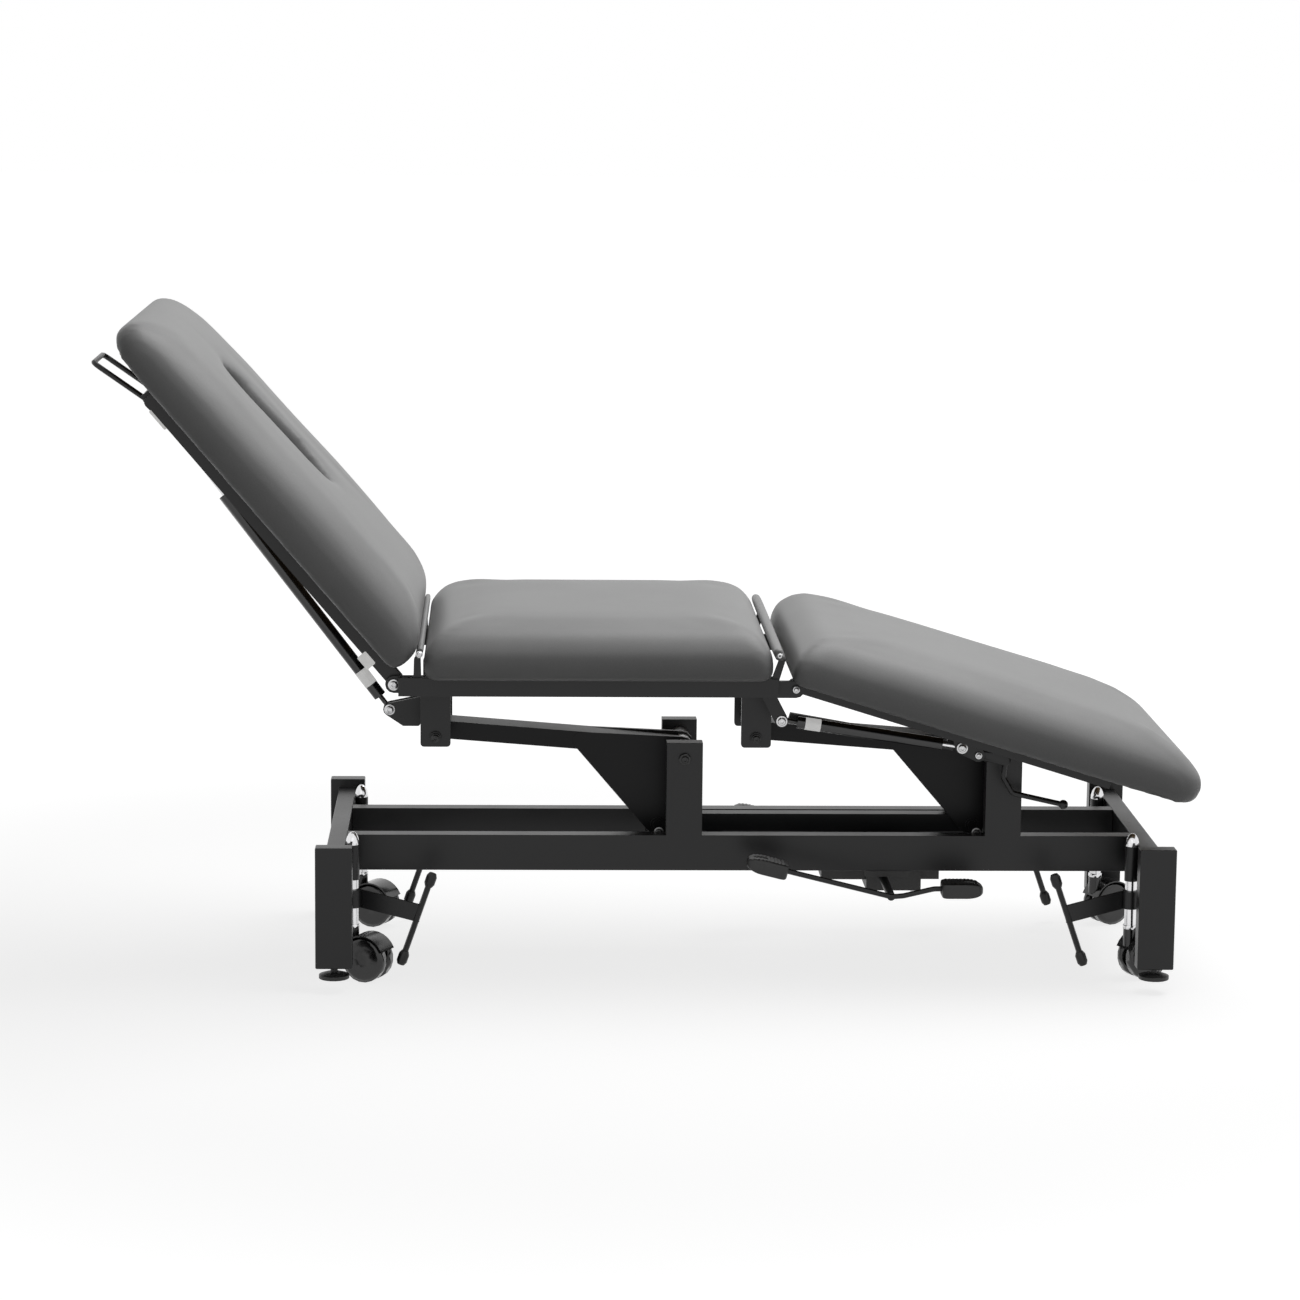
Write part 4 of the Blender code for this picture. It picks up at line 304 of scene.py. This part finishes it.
def makePaper():
    look = Finish("blankPaper")
    cloud = look.noise(paperLook["cloudScale"])
    crumple = look.cells(paperLook["crumpleScale"], "SMOOTH_F1")
    colour = look.blendColours(cloud.steps(*paperLook["shadeRange"]), paperLook["dark"], paperLook["light"])
    return look.surface({
        "Base Color": colour, "Roughness": cloud * paperLook["cloudRoughness"] + paperLook["roughness"],
        "Normal": look.bump(crumple, paperLook["depth"], paperLook["strength"]),
        "Emission Color": colour, "Emission Strength": paperLook["glow"],
    })


vinyl = makeVinyl()
enamel = makeEnamel("satinBlackEnamel", 0.4)
# Shaded copy of the same enamel: less specular, so the lift arms and tie rod show painted shade
shadedEnamel = makeEnamel("shadedBlackEnamel", 0.2)
chrome = makeMetal("polishedChrome", (0.66, 0.66, 0.67), (0.82, 0.82, 0.83), 0.13, (5, 5, 0.3))
zinc = makeMetal("zincPlate", (0.50, 0.50, 0.51), (0.72, 0.72, 0.72), 0.30, (1, 5, 5))
darkSteel = makeMetal("darkenedSteel", (0.10, 0.10, 0.10), (0.20, 0.20, 0.20), 0.38, (1, 5, 5))
blackBolt = makePlastic("blackedBolt", (0.008, 0.008, 0.008), (0.02, 0.02, 0.02), 0.32, 500.0, 0.00005)
glossPlastic = makePlastic("glossBlackPlastic", (0.004, 0.004, 0.004), (0.010, 0.010, 0.010), 0.20, 700.0,
                           0.00002, 0.3)
blackPlastic = makePlastic("mouldedBlackPlastic", (0.010, 0.010, 0.010), (0.022, 0.022, 0.022), 0.42, 700.0, 0.00007)
rubber = makePlastic("treadRubber", (0.016, 0.016, 0.016), (0.038, 0.038, 0.038), 0.40, 800.0, 0.0001)
springTube = makePlastic("springTubePaint", (0.004, 0.004, 0.0045), (0.010, 0.010, 0.011), 0.22, 900.0, 0.00002, 0.4)
wood = makePlywood()
casting = makeCasting()
paper = makePaper()
print("finishes made")

# Which finish each CAD node takes, by how its name starts
nodeFinish = {
    "rail_": enamel, "end_frame_": enamel, "castor_sleeve_": enamel, "castor_lever_": enamel,
    # The lift arms and tie rod take the shaded copy of the enamel, as painted shade
    "lift_arm_": shadedEnamel, "tie_rod": shadedEnamel, "seat_frame": enamel, "back_frame": enamel,
    "back_head_bracket": enamel, "back_release_handle": enamel, "leg_frame": enamel,
    "leg_release_lever": enamel, "pedal_rocker": enamel,
    "pivot_bolt_": blackBolt, "leveller_": blackPlastic, "castor_stem_": chrome,
    "castor_hood_": glossPlastic, "castor_wheels_": glossPlastic, "pump_housing": casting,
    "pump_valve_pin": zinc, "pump_cylinder": springTube, "pump_ram": chrome, "pedal_pad_": rubber,
    "seat_board": wood, "back_board": wood, "leg_board": wood,
    "seat_cushion": vinyl, "back_cushion": vinyl, "leg_cushion": vinyl, "filler_pad_": vinyl,
    "back_gas_cylinder": springTube, "back_gas_rod": chrome,
    "leg_gas_rod": chrome, "leg_gas_cylinder": springTube,
}
# Corners this close are welded into one
weldDistance = 0.00001
# Faces within this angle of each other are one plane, and edges past the other one are sharp
planeAngle, sharpAngle = math.radians(0.4), math.radians(38)
# How far the sharp edges of a node are eased, in metres
edgeEase = {
    "rail_": 0.0018, "end_frame_": 0.0018, "seat_frame": 0.0009, "lift_arm_": 0.0010, "tie_rod": 0.0010,
    "back_frame": 0.0009, "leg_frame": 0.0009, "back_head_bracket": 0.0006, "castor_lever_": 0.0007,
    "pump_housing": 0.0012, "castor_hood_": 0.0005, "pedal_rocker": 0.0004, "leveller_": 0.0005,
    "seat_board": 0.0006, "back_board": 0.0006, "leg_board": 0.0006,
}


def settingFor(name, table):
    for start, value in table.items():
        if name.startswith(start):
            return value
    return None


def onlySelect(piece):
    if bpy.context.object and bpy.context.object.mode != "OBJECT":
        bpy.ops.object.mode_set(mode="OBJECT")
    bpy.ops.object.select_all(action="DESELECT")
    piece.select_set(True)
    bpy.context.view_layer.objects.active = piece


def applyAll(piece):
    onlySelect(piece)
    for modifier in list(piece.modifiers):
        bpy.ops.object.modifier_apply(modifier=modifier.name)


def paint(piece, material):
    piece.data.materials.clear()
    piece.data.materials.append(material)
    for face in piece.data.polygons:
        face.material_index = 0


# CAD nodes that stay: welded and eased by modifiers, with their own meshes left alone
for name, node in nodes.items():
    paint(node, settingFor(name, nodeFinish))
    onlySelect(node)
    if node.data.has_custom_normals:
        bpy.ops.mesh.customdata_custom_splitnormals_clear()
    node.data.shade_smooth()
    weld = node.modifiers.new("weld", "WELD")
    weld.merge_threshold = weldDistance
    ease = settingFor(name, edgeEase)
    if ease:
        flat = node.modifiers.new("flat", "DECIMATE")
        flat.decimate_type = "DISSOLVE"
        flat.angle_limit = planeAngle
        rounding = node.modifiers.new("ease", "BEVEL")
        rounding.width = ease
        rounding.segments = 2
        rounding.limit_method = "ANGLE"
        rounding.angle_limit = sharpAngle
    smooth = node.modifiers.new("smooth", "WEIGHTED_NORMAL")
    smooth.keep_sharp = True
print("CAD nodes dressed")


# World place of each section's own frame, from its hinge and its tilt
def sectionFrame(x, z, degrees):
    return Matrix.Translation((x, 0, z)) @ Matrix.Rotation(math.radians(degrees), 4, "Y")


seatPlace = sectionFrame(-0.3460, 0.3890, 0.0)
backPlace = sectionFrame(-0.4113, 0.5020, 49.5)
legPlace = sectionFrame(0.2444, 0.4960, 17.1)


def mergedCopy(name, node):
    piece = nodes[node].copy()
    piece.data = nodes[node].data.copy()
    piece.name = name
    piece.data.name = name
    piece.parent = None
    piece.modifiers.clear()
    for key in list(piece.keys()):
        del piece[key]
    bpy.context.scene.collection.objects.link(piece)
    onlySelect(piece)
    bpy.ops.object.mode_set(mode="EDIT")
    bpy.ops.mesh.select_all(action="SELECT")
    bpy.ops.mesh.remove_doubles(threshold=weldDistance)
    bpy.ops.object.mode_set(mode="OBJECT")
    return piece


def voxelSkin(piece, size):
    remesh = piece.modifiers.new("remesh", "REMESH")
    remesh.mode = "VOXEL"
    remesh.voxel_size = size
    applyAll(piece)


# The cloth run of a padded piece, and the share of freedom past which a point isn't held at all
clothFrames = 20
clothQuality = 4
fullyFree = 0.98


# Padded pieces: a copy of the solid, remeshed and blown up as cloth over its pinned underside
def softPad(name, settings):
    piece = mergedCopy(name, settings["node"])
    voxelSkin(piece, settings["voxel"])
    inward = settings["place"].inverted()
    heights = [(inward @ vertex.co).z - settings["bottom"] for vertex in piece.data.vertices]
    low, high = settings["held"]
    free = [min(max((height - low) / (high - low), 0.0), 1.0) for height in heights]
    free = [share * share * (3 - 2 * share) for share in free]
    normals = [vertex.normal.copy() for vertex in piece.data.vertices]
    for vertex, share, normal in zip(piece.data.vertices, free, normals):
        vertex.co -= normal * settings["slack"] * share
        vertex.co.y *= settings["stretch"]
    held = piece.vertex_groups.new(name="held")
    for index, share in enumerate(free):
        if share < fullyFree:
            held.add([index], 1 - share, "REPLACE")
    inflate(piece, settings)
    ironing = piece.modifiers.new("ironing", "SMOOTH")
    ironing.factor = 0.5
    ironing.iterations = settings["smoothing"]
    ironing.vertex_group = "held"
    ironing.invert_vertex_group = True
    finer = piece.modifiers.new("finer", "SUBSURF")
    finer.levels = finer.render_levels = settings["levels"]
    applyAll(piece)
    piece.data.shade_smooth()
    piece.vertex_groups.clear()
    paint(piece, vinyl)
    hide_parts(settings["node"])
    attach(piece, settings["body"])
    print("padded piece", name, len(piece.data.polygons), "faces")
    return piece


def inflate(piece, settings):
    start = [vertex.co.copy() for vertex in piece.data.vertices]
    cloth = piece.modifiers.new("cloth", "CLOTH")
    cloth.settings.quality = clothQuality
    cloth.settings.use_pressure = True
    cloth.settings.uniform_pressure_force = settings["pressure"]
    cloth.settings.vertex_group_mass = "held"
    cloth.settings.pin_stiffness = 1.0
    cloth.settings.effector_weights.gravity = 0.0
    cloth.point_cache.frame_start = 1
    cloth.point_cache.frame_end = clothFrames
    for number in range(1, clothFrames + 1):
        bpy.context.scene.frame_set(number)
    evaluated = piece.evaluated_get(bpy.context.evaluated_depsgraph_get())
    moved = [vertex.co.copy() for vertex in evaluated.data.vertices]
    bpy.context.scene.frame_set(1)
    piece.modifiers.remove(cloth)
    # Each point's travel is eased off towards the cap, so that no ridge is left where the limit starts
    for vertex, first, last in zip(piece.data.vertices, start, moved):
        travel = last - first
        if travel.length > 0:
            travel *= settings["cap"] * math.tanh(travel.length / settings["cap"]) / travel.length
        vertex.co = first + travel


# Bottom: the underside's height in its section's frame. Held: from the first height over it to the second, the
# cover comes free. Slack: how far it starts inside the solid. Cap: the most that the filling can push it out.
seatPad = {
    "node": "seat_cushion", "body": "seat", "place": seatPlace, "bottom": 0.1288, "voxel": 0.0075,
    "held": (0.010, 0.070), "slack": 0.0, "pressure": 4.0, "cap": 0.0032,
    "smoothing": 20, "levels": 1, "fill": 0.85, "stretch": 1.0,
}
backPad = dict(seatPad, node="back_cushion", body="back", place=backPlace, bottom=0.018, held=(0.014, 0.080))
legPad = dict(seatPad, node="leg_cushion", body="leg", place=legPlace, bottom=0.0146, held=(0.012, 0.075))
headStrip = {
    "node": "filler_pad_head", "body": "seat", "place": seatPlace, "bottom": 0.160, "voxel": 0.0016,
    "held": (0.003, 0.007), "slack": -0.0004, "pressure": 4.0, "cap": 0.0008,
    "smoothing": 2, "levels": 1, "fill": 0.7, "stretch": 1.05,
}
footStrip = dict(headStrip, node="filler_pad_foot", slack=-0.0036)
softPad("seatCushion", seatPad)
softPad("backCushion", backPad)
softPad("legCushion", legPad)
softPad("headStripPad", headStrip)
softPad("footStripPad", footStrip)


# Turned pieces: a disc drawn up step by step, each step (radius, height)
def turned(name, steps, sides, material, ease=0.0004, angle=35):
    bpy.ops.object.select_all(action="DESELECT")
    radius, height = steps[0]
    bpy.ops.mesh.primitive_circle_add(vertices=sides, radius=radius, fill_type="NGON", location=(0, 0, height))
    piece = bpy.context.object
    piece.name = name
    piece.data.name = name
    bpy.ops.object.transform_apply(location=True, rotation=False, scale=False)
    bpy.ops.object.mode_set(mode="EDIT")
    bpy.ops.mesh.select_all(action="SELECT")
    for nextRadius, nextHeight in steps[1:]:
        lift = {"value": (0, 0, nextHeight - height)}
        bpy.ops.mesh.extrude_region_move(TRANSFORM_OT_translate=lift)
        share = nextRadius / radius
        bpy.ops.transform.resize(value=(share, share, 1), center_override=(0, 0, nextHeight))
        radius, height = nextRadius, nextHeight
    bpy.ops.mesh.select_all(action="SELECT")
    bpy.ops.mesh.normals_make_consistent(inside=False)
    bpy.ops.object.mode_set(mode="OBJECT")
    if ease:
        rounding = piece.modifiers.new("ease", "BEVEL")
        rounding.width = ease
        rounding.segments = 2
        rounding.limit_method = "ANGLE"
        rounding.angle_limit = math.radians(angle)
        applyAll(piece)
    onlySelect(piece)
    bpy.ops.object.shade_smooth_by_angle(angle=math.radians(angle))
    paint(piece, material)
    return piece


# A copy of a finished piece with its own mesh, turned from +Z to the wanted direction and put at its spot
def putCopy(piece, name, spot, along, spin=0.0):
    made = piece.copy()
    made.data = piece.data.copy()
    made.name = name
    made.data.name = name
    bpy.context.scene.collection.objects.link(made)
    turn = Vector((0, 0, 1)).rotation_difference(Vector(along)).to_matrix().to_4x4()
    made.data.transform(Matrix.Translation(spot) @ turn @ Matrix.Rotation(spin, 4, "Z"))
    return made


def discard(piece):
    mesh = piece.data
    bpy.data.objects.remove(piece)
    bpy.data.meshes.remove(mesh)


def mount(piece, body):
    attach(piece, body)
    return piece


# Screw heads: a domed button with a hex socket, over a washer that may have a finish of its own
washerHeight = 0.0012
washerLip = 0.0001
# The dome as shares of the head's radius and height, and the hex socket in its top
domeSteps = ((1.0, 0.45), (0.86, 0.8), (0.62, 1.0))
socketWidth, socketDepth = 0.48, 0.7


def buttonHead(name, radius, height, material, washer=1.35, washerFinish=None):
    outline = [(radius * washer, 0.0), (radius * washer, washerHeight - washerLip), (radius, washerHeight)]
    outline += [(radius * width, washerHeight + height * rise) for width, rise in domeSteps]
    piece = turned(name, outline, 36, material, 0.0002, 50)
    bpy.ops.object.select_all(action="DESELECT")
    bpy.ops.mesh.primitive_cylinder_add(vertices=6, radius=radius * socketWidth, depth=height * socketDepth * 2,
                                        location=(0, 0, washerHeight + height))
    cutter = bpy.context.object
    onlySelect(piece)
    socket = piece.modifiers.new("socket", "BOOLEAN")
    socket.object = cutter
    socket.operation = "DIFFERENCE"
    socket.solver = "EXACT"
    applyAll(piece)
    discard(cutter)
    if washerFinish:
        piece.data.materials.append(washerFinish)
        for face in piece.data.polygons:
            if face.center.z < washerHeight:
                face.material_index = len(piece.data.materials) - 1
    return piece


brightHead = buttonHead("brightHead", 0.0068, 0.0042, zinc)
smallHead = buttonHead("smallHead", 0.0042, 0.0030, zinc)
darkHead = buttonHead("darkHead", 0.0062, 0.0034, blackBolt, 1.2)
ringHead = buttonHead("ringHead", 0.0060, 0.0034, blackBolt, 1.4, darkSteel)

# Where the screw heads sit: template, name, x, z, body, material slot, the faces' y with their outward sides
springSides = ((-0.1742, -1), (-0.1458, 1))
screwSpots = [
    (brightHead, "backHingeScrew", -0.4113, 0.5020, "seat", "bright_steel", ((-0.2450, -1), (0.2450, 1))),
    (smallHead, "legHingeScrew", 0.2444, 0.4960, "seat", "bright_steel", ((-0.2450, -1), (0.2450, 1))),
    (brightHead, "backSpringFootScrew", -0.4251, 0.4188, "seat", "bright_steel", ((-0.0135, -1), (0.0135, 1))),
    (smallHead, "backSpringTopScrew", -0.80312, 0.91564, "back", "bright_steel", ((-0.0135, -1), (0.0135, 1))),
    (brightHead, "legSpringStartScrew", 0.2265, 0.4308, "seat", "bright_steel", springSides),
    (brightHead, "legSpringEndScrew", 0.52673, 0.38665, "leg", "bright_steel", springSides),
    (smallHead, "legLeverScrew", 0.55442, 0.37395, "leg", "bright_steel", springSides),
    (darkHead, "headArmScrew", -0.3460, 0.3890, "seat", "black_plastic", ((-0.1120, -1), (0.1120, 1))),
    (darkHead, "footArmScrew", 0.1890, 0.3890, "seat", "black_plastic", ((-0.1120, -1), (0.1120, 1))),
    (darkHead, "headPostScrew", 0.0694, 0.3570, "base", "black_plastic", ((-0.1282, -1), (0.1282, 1))),
    (darkHead, "footPostScrew", 0.6044, 0.3570, "base", "black_plastic", ((-0.1282, -1), (0.1282, 1))),
    (smallHead, "headFillerScrew", -0.3682, 0.5610, "seat", "bright_steel", ((-0.2955, -1), (0.2955, 1))),
    (smallHead, "footFillerScrew", 0.2127, 0.5610, "seat", "bright_steel", ((-0.2955, -1), (0.2955, 1))),
    (ringHead, "headCrankScrew", 0.0284, 0.2265, "lift_arm_head", "black_plastic", ((-0.0947, -1), (0.0947, 1))),
    (ringHead, "footCrankScrew", 0.5634, 0.2265, "lift_arm_foot", "black_plastic", ((-0.0947, -1), (0.0947, 1))),
]
socketTurn = 0.4
for template, name, x, z, body, slot, faces in screwSpots:
    for (y, side), word in zip(faces, ("near", "far")):
        screw = putCopy(template, f"{name}_{word}", (x, y, z), (0, side, 0), socketTurn)
        mount(screw, body)
for template in (brightHead, smallHead, darkHead, ringHead):
    discard(template)
print("screw heads placed")


# Bright bearing tubes round the lift arms' lower pivots, between the posts
pivotTube = {"radius": 0.0163, "half": 0.086, "height": 0.3570}
for end, x in (("head", 0.0694), ("foot", 0.6044)):
    half = pivotTube["half"]
    tube = turned("pivotTubeTemplate", [(pivotTube["radius"], -half), (pivotTube["radius"], half)], 48, zinc)
    placed = putCopy(tube, f"pivotTube_{end}", (x, 0, pivotTube["height"]), (0, 1, 0))
    mount(placed, f"lift_arm_{end}")
    discard(tube)
print("pivot tubes placed")


# Blank paper bands round the gas springs: pin and tilt of the spring, start and length along it, radius
bands = {
    "backSpringBand": {"pin": (-0.4251, 0.0, 0.4188), "tilt": 180 - 52.73, "from": 0.052, "length": 0.030,
                       "radius": 0.01115, "body": "back_gas_cylinder"},
    "legSpringBand": {"pin": (0.2265, -0.16, 0.4308), "tilt": -8.37, "from": 0.040, "length": 0.026,
                      "radius": 0.01015, "body": "leg_gas_cylinder"},
}
# Flat blank stickers: centre, length along the piece and height, tilt
stickers = {
    "backTubeSticker": {"centre": (-0.4560, -0.2339, 0.5400), "size": (0.026, 0.018), "tilt": 130.5, "body": "back"},
    "headBracketSticker": {"centre": (-0.7990, -0.0898, 0.9180), "size": (0.040, 0.014), "tilt": 130.5,
                           "body": "back"},
}

paperThickness = {"band": 0.00022, "sticker": 0.0004}
stickerCorner = 0.0022


def makeBand(name, band):
    bpy.ops.object.select_all(action="DESELECT")
    middle = band["from"] + band["length"] / 2
    bpy.ops.mesh.primitive_cylinder_add(vertices=48, radius=band["radius"], depth=band["length"],
                                        end_fill_type="NOTHING", location=(0, 0, middle))
    piece = bpy.context.object
    piece.name = name
    bpy.ops.object.transform_apply(location=True, rotation=False, scale=False)
    skin = piece.modifiers.new("skin", "SOLIDIFY")
    skin.thickness = paperThickness["band"]
    skin.offset = 1.0
    applyAll(piece)
    tilt = math.radians(band["tilt"])
    direction = Vector((math.cos(tilt), 0, math.sin(tilt)))
    turn = Vector((0, 0, 1)).rotation_difference(direction).to_matrix().to_4x4()
    piece.data.transform(Matrix.Translation(band["pin"]) @ turn)
    onlySelect(piece)
    bpy.ops.object.shade_smooth_by_angle(angle=math.radians(40))
    paint(piece, paper)
    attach(piece, band["body"])


def makeSticker(name, sticker):
    bpy.ops.object.select_all(action="DESELECT")
    bpy.ops.mesh.primitive_plane_add(size=1.0)
    piece = bpy.context.object
    piece.name = name
    long, tall = sticker["size"]
    piece.scale = (long, tall, 1)
    bpy.ops.object.transform_apply(location=False, rotation=False, scale=True)
    bpy.ops.object.mode_set(mode="EDIT")
    bpy.ops.mesh.select_all(action="SELECT")
    bpy.ops.mesh.bevel(offset=stickerCorner, segments=4, affect="VERTICES")
    bpy.ops.object.mode_set(mode="OBJECT")
    skin = piece.modifiers.new("skin", "SOLIDIFY")
    skin.thickness = paperThickness["sticker"]
    skin.offset = 0.0
    applyAll(piece)
    lay = Matrix.Rotation(-math.radians(sticker["tilt"]), 4, "Y") @ Matrix.Rotation(math.pi / 2, 4, "X")
    piece.data.transform(Matrix.Translation(sticker["centre"]) @ lay)
    paint(piece, paper)
    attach(piece, sticker["body"])


for name, band in bands.items():
    makeBand(name, band)
for name, sticker in stickers.items():
    makeSticker(name, sticker)
print("blank labels placed")

# Rubber treads on the pedals: the solid's skin remeshed and eased, with a rounded nose and ribs across its top
pedalTread = {
    "voxel": 0.0013, "easing": 40, "noseFrom": 0.006, "noseEnd": 0.0345, "noseShare": 0.82,
    "ribPitch": 0.0062, "ribHeight": 0.0008, "ribbedLength": 0.029, "ribbedWidth": 0.020, "ribSteepness": 1.8,
    "facingUp": 0.6,
}
for end, tilt, outward in (("head", 15.2, -1), ("foot", 0.0, 1)):
    for side in ("near", "far"):
        name = f"pedal_pad_{end}_{side}"
        low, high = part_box(name)
        tread = mergedCopy(f"pedalTread_{end}_{side}", name)
        voxelSkin(tread, pedalTread["voxel"])
        ironing = tread.modifiers.new("ironing", "SMOOTH")
        ironing.factor = 0.5
        ironing.iterations = pedalTread["easing"]
        applyAll(tread)
        flat = Matrix.Rotation(-math.radians(tilt), 4, "Y") @ Matrix.Translation(-(low + high) / 2)
        noseFrom, noseEnd = pedalTread["noseFrom"], pedalTread["noseEnd"]
        for vertex in tread.data.vertices:
            local = flat @ vertex.co
            share = min(max((local.x * outward - noseFrom) / (noseEnd - noseFrom), 0.0), 1.0)
            narrow = math.sqrt(1 - pedalTread["noseShare"] * share * share)
            local.z *= narrow
            local.y *= 0.5 + 0.5 * narrow
            vertex.co = flat.inverted() @ local
        tread.data.update()
        normals = [vertex.normal.copy() for vertex in tread.data.vertices]
        for vertex, normal in zip(tread.data.vertices, normals):
            local = flat @ vertex.co
            upward = (flat.to_3x3() @ normal).z
            rib = 0.5 + 0.5 * math.cos(2 * math.pi * local.x / pedalTread["ribPitch"])
            ribbed = abs(local.x) < pedalTread["ribbedLength"] and abs(local.y) < pedalTread["ribbedWidth"]
            if upward > pedalTread["facingUp"] and ribbed:
                vertex.co += normal * pedalTread["ribHeight"] * min(rib * pedalTread["ribSteepness"], 1.0)
        tread.data.shade_smooth()
        paint(tread, rubber)
        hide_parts(name)
        mount(tread, "pedals")
print("pedal treads made")

# Castor hub caps: a domed cap with a raised rim on the outside of each wheel
hubSteps = [(0.0135, 0.0), (0.0135, 0.0014), (0.0118, 0.0020), (0.0108, 0.0012), (0.0060, 0.0019),
            (0.0020, 0.0022)]
hubCap = turned("hubCap", hubSteps, 40, glossPlastic, 0.0002, 30)
castor = {"yaw": math.radians(27.0), "stemY": 0.195, "axleShift": 0.0127, "axleHeight": 0.0375, "capReach": 0.0157}
for end, x, bend in (("head", -0.4557, 1), ("foot", 0.8364, -1)):
    for side, sideSign in (("near", -1), ("far", 1)):
        turn = castor["yaw"] * bend
        axle = Vector((math.sin(turn), math.cos(turn), 0))
        centre = Vector((x, castor["stemY"] * sideSign - bend * castor["axleShift"], castor["axleHeight"]))
        for word, sign in (("inner", -1), ("outer", 1)):
            spot = centre + axle * sign * castor["capReach"]
            cap = putCopy(hubCap, f"hubCap_{end}_{side}_{word}", spot, axle * sign)
            mount(cap, f"castor_wheels_{end}_{side}")
discard(hubCap)
print("castor caps placed")


# The photograph's camera, found from the rails, castors and cushion corners
camera = {"spot": (-0.2265, -6.4527, 1.5963), "yaw": 2.134, "pitch": 9.46, "roll": 0.584, "lens": 107.26,
          "sensor": 36.0}


def makeCamera():
    yaw, pitch, roll = (math.radians(camera[key]) for key in ("yaw", "pitch", "roll"))
    forward = Vector((math.sin(yaw) * math.cos(pitch), math.cos(yaw) * math.cos(pitch), -math.sin(pitch)))
    right = Vector((math.cos(yaw), -math.sin(yaw), 0))
    up = right.cross(forward)
    rolledRight = right * math.cos(roll) + up * math.sin(roll)
    rolledUp = up * math.cos(roll) - right * math.sin(roll)
    data = bpy.data.cameras.new("camera")
    data.lens = camera["lens"]
    data.sensor_width = camera["sensor"]
    lookout = bpy.data.objects.new("camera", data)
    bpy.context.scene.collection.objects.link(lookout)
    turn = Matrix((rolledRight, rolledUp, -forward)).transposed().to_4x4()
    lookout.matrix_world = Matrix.Translation(camera["spot"]) @ turn
    bpy.context.scene.camera = lookout


makeCamera()

# Floor glow: its strength under the couch and far off. Lamps: spot, target, size and power.
studio = {
    "floorSize": 60.0, "floorDrop": 0.0005, "floorShade": 0.30, "floorGlow": (0.80, 1.0),
    "fadeFrom": 1.2, "fadeTo": 2.6, "fill": 0.07,
    "top": ((1.0, 0.45, 3.1), (0.15, 0.0, 0.4), (3.0, 2.6), 88.0),
    "front": ((-0.6, -4.6, 1.9), (0.1, 0.0, 0.5), (3.0, 2.0), 4.0),
}


def makeLamp(name, spot, target, size, power):
    data = bpy.data.lights.new(name, "AREA")
    data.shape = "RECTANGLE"
    data.size, data.size_y = size
    data.energy = power
    lamp = bpy.data.objects.new(name, data)
    bpy.context.scene.collection.objects.link(lamp)
    lamp.location = spot
    lamp.rotation_euler = (Vector(target) - Vector(spot)).to_track_quat("-Z", "Y").to_euler()


def makeStudio():
    world = bpy.data.worlds.new("studio")
    bpy.context.scene.world = world
    world.use_nodes = True
    tree = world.node_tree
    tree.nodes.clear()
    out = tree.nodes.new("ShaderNodeOutputWorld")
    sky = tree.nodes.new("ShaderNodeBackground")
    ray = tree.nodes.new("ShaderNodeLightPath")
    seen = tree.nodes.new("ShaderNodeMath")
    seen.operation = "MAXIMUM"
    both = tree.nodes.new("ShaderNodeMath")
    both.operation = "MAXIMUM"
    level = tree.nodes.new("ShaderNodeMapRange")
    level.inputs["To Min"].default_value = studio["fill"]
    level.inputs["To Max"].default_value = 1.0
    tree.links.new(ray.outputs["Is Camera Ray"], seen.inputs[0])
    tree.links.new(ray.outputs["Is Glossy Ray"], seen.inputs[1])
    tree.links.new(seen.outputs[0], both.inputs[0])
    tree.links.new(ray.outputs["Is Transmission Ray"], both.inputs[1])
    tree.links.new(both.outputs[0], level.inputs["Value"])
    tree.links.new(level.outputs[0], sky.inputs["Strength"])
    sky.inputs["Color"].default_value = (1, 1, 1, 1)
    tree.links.new(sky.outputs[0], out.inputs["Surface"])

    bpy.ops.object.select_all(action="DESELECT")
    bpy.ops.mesh.primitive_plane_add(size=studio["floorSize"], location=(0, 0, -studio["floorDrop"]))
    floor = bpy.context.object
    floor.name = "studioFloor"
    look = Finish("paleFloor")
    path = look.node("ShaderNodeLightPath", {}, {}, "Is Camera Ray")
    gloss = look.node("ShaderNodeLightPath", {}, {}, "Is Glossy Ray")
    shade = studio["floorShade"]
    matt = look.node("ShaderNodeBsdfDiffuse", {}, {"Color": (shade, shade, shade)})
    reach = look.node("ShaderNodeVectorMath", {"operation": "LENGTH"}, {0: look.place}, "Value")
    near, far = studio["floorGlow"]
    level = reach.steps(studio["fadeFrom"], studio["fadeTo"]) * (far - near) + near
    glow = look.node("ShaderNodeEmission", {}, {"Color": (1.0, 1.0, 1.0),
                                                "Strength": path.maths("MAXIMUM", path, gloss) * level})
    both = look.node("ShaderNodeAddShader", {}, {0: matt, 1: glow})
    look.tree.links.new(both.socket, look.out.inputs["Surface"])
    paint(floor, look.material)
    floor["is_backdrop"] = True
    for name in ("top", "front"):
        makeLamp(name, *studio[name])
    bpy.context.scene.view_settings.view_transform = "Standard"


makeStudio()
print("camera and studio made")

low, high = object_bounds()
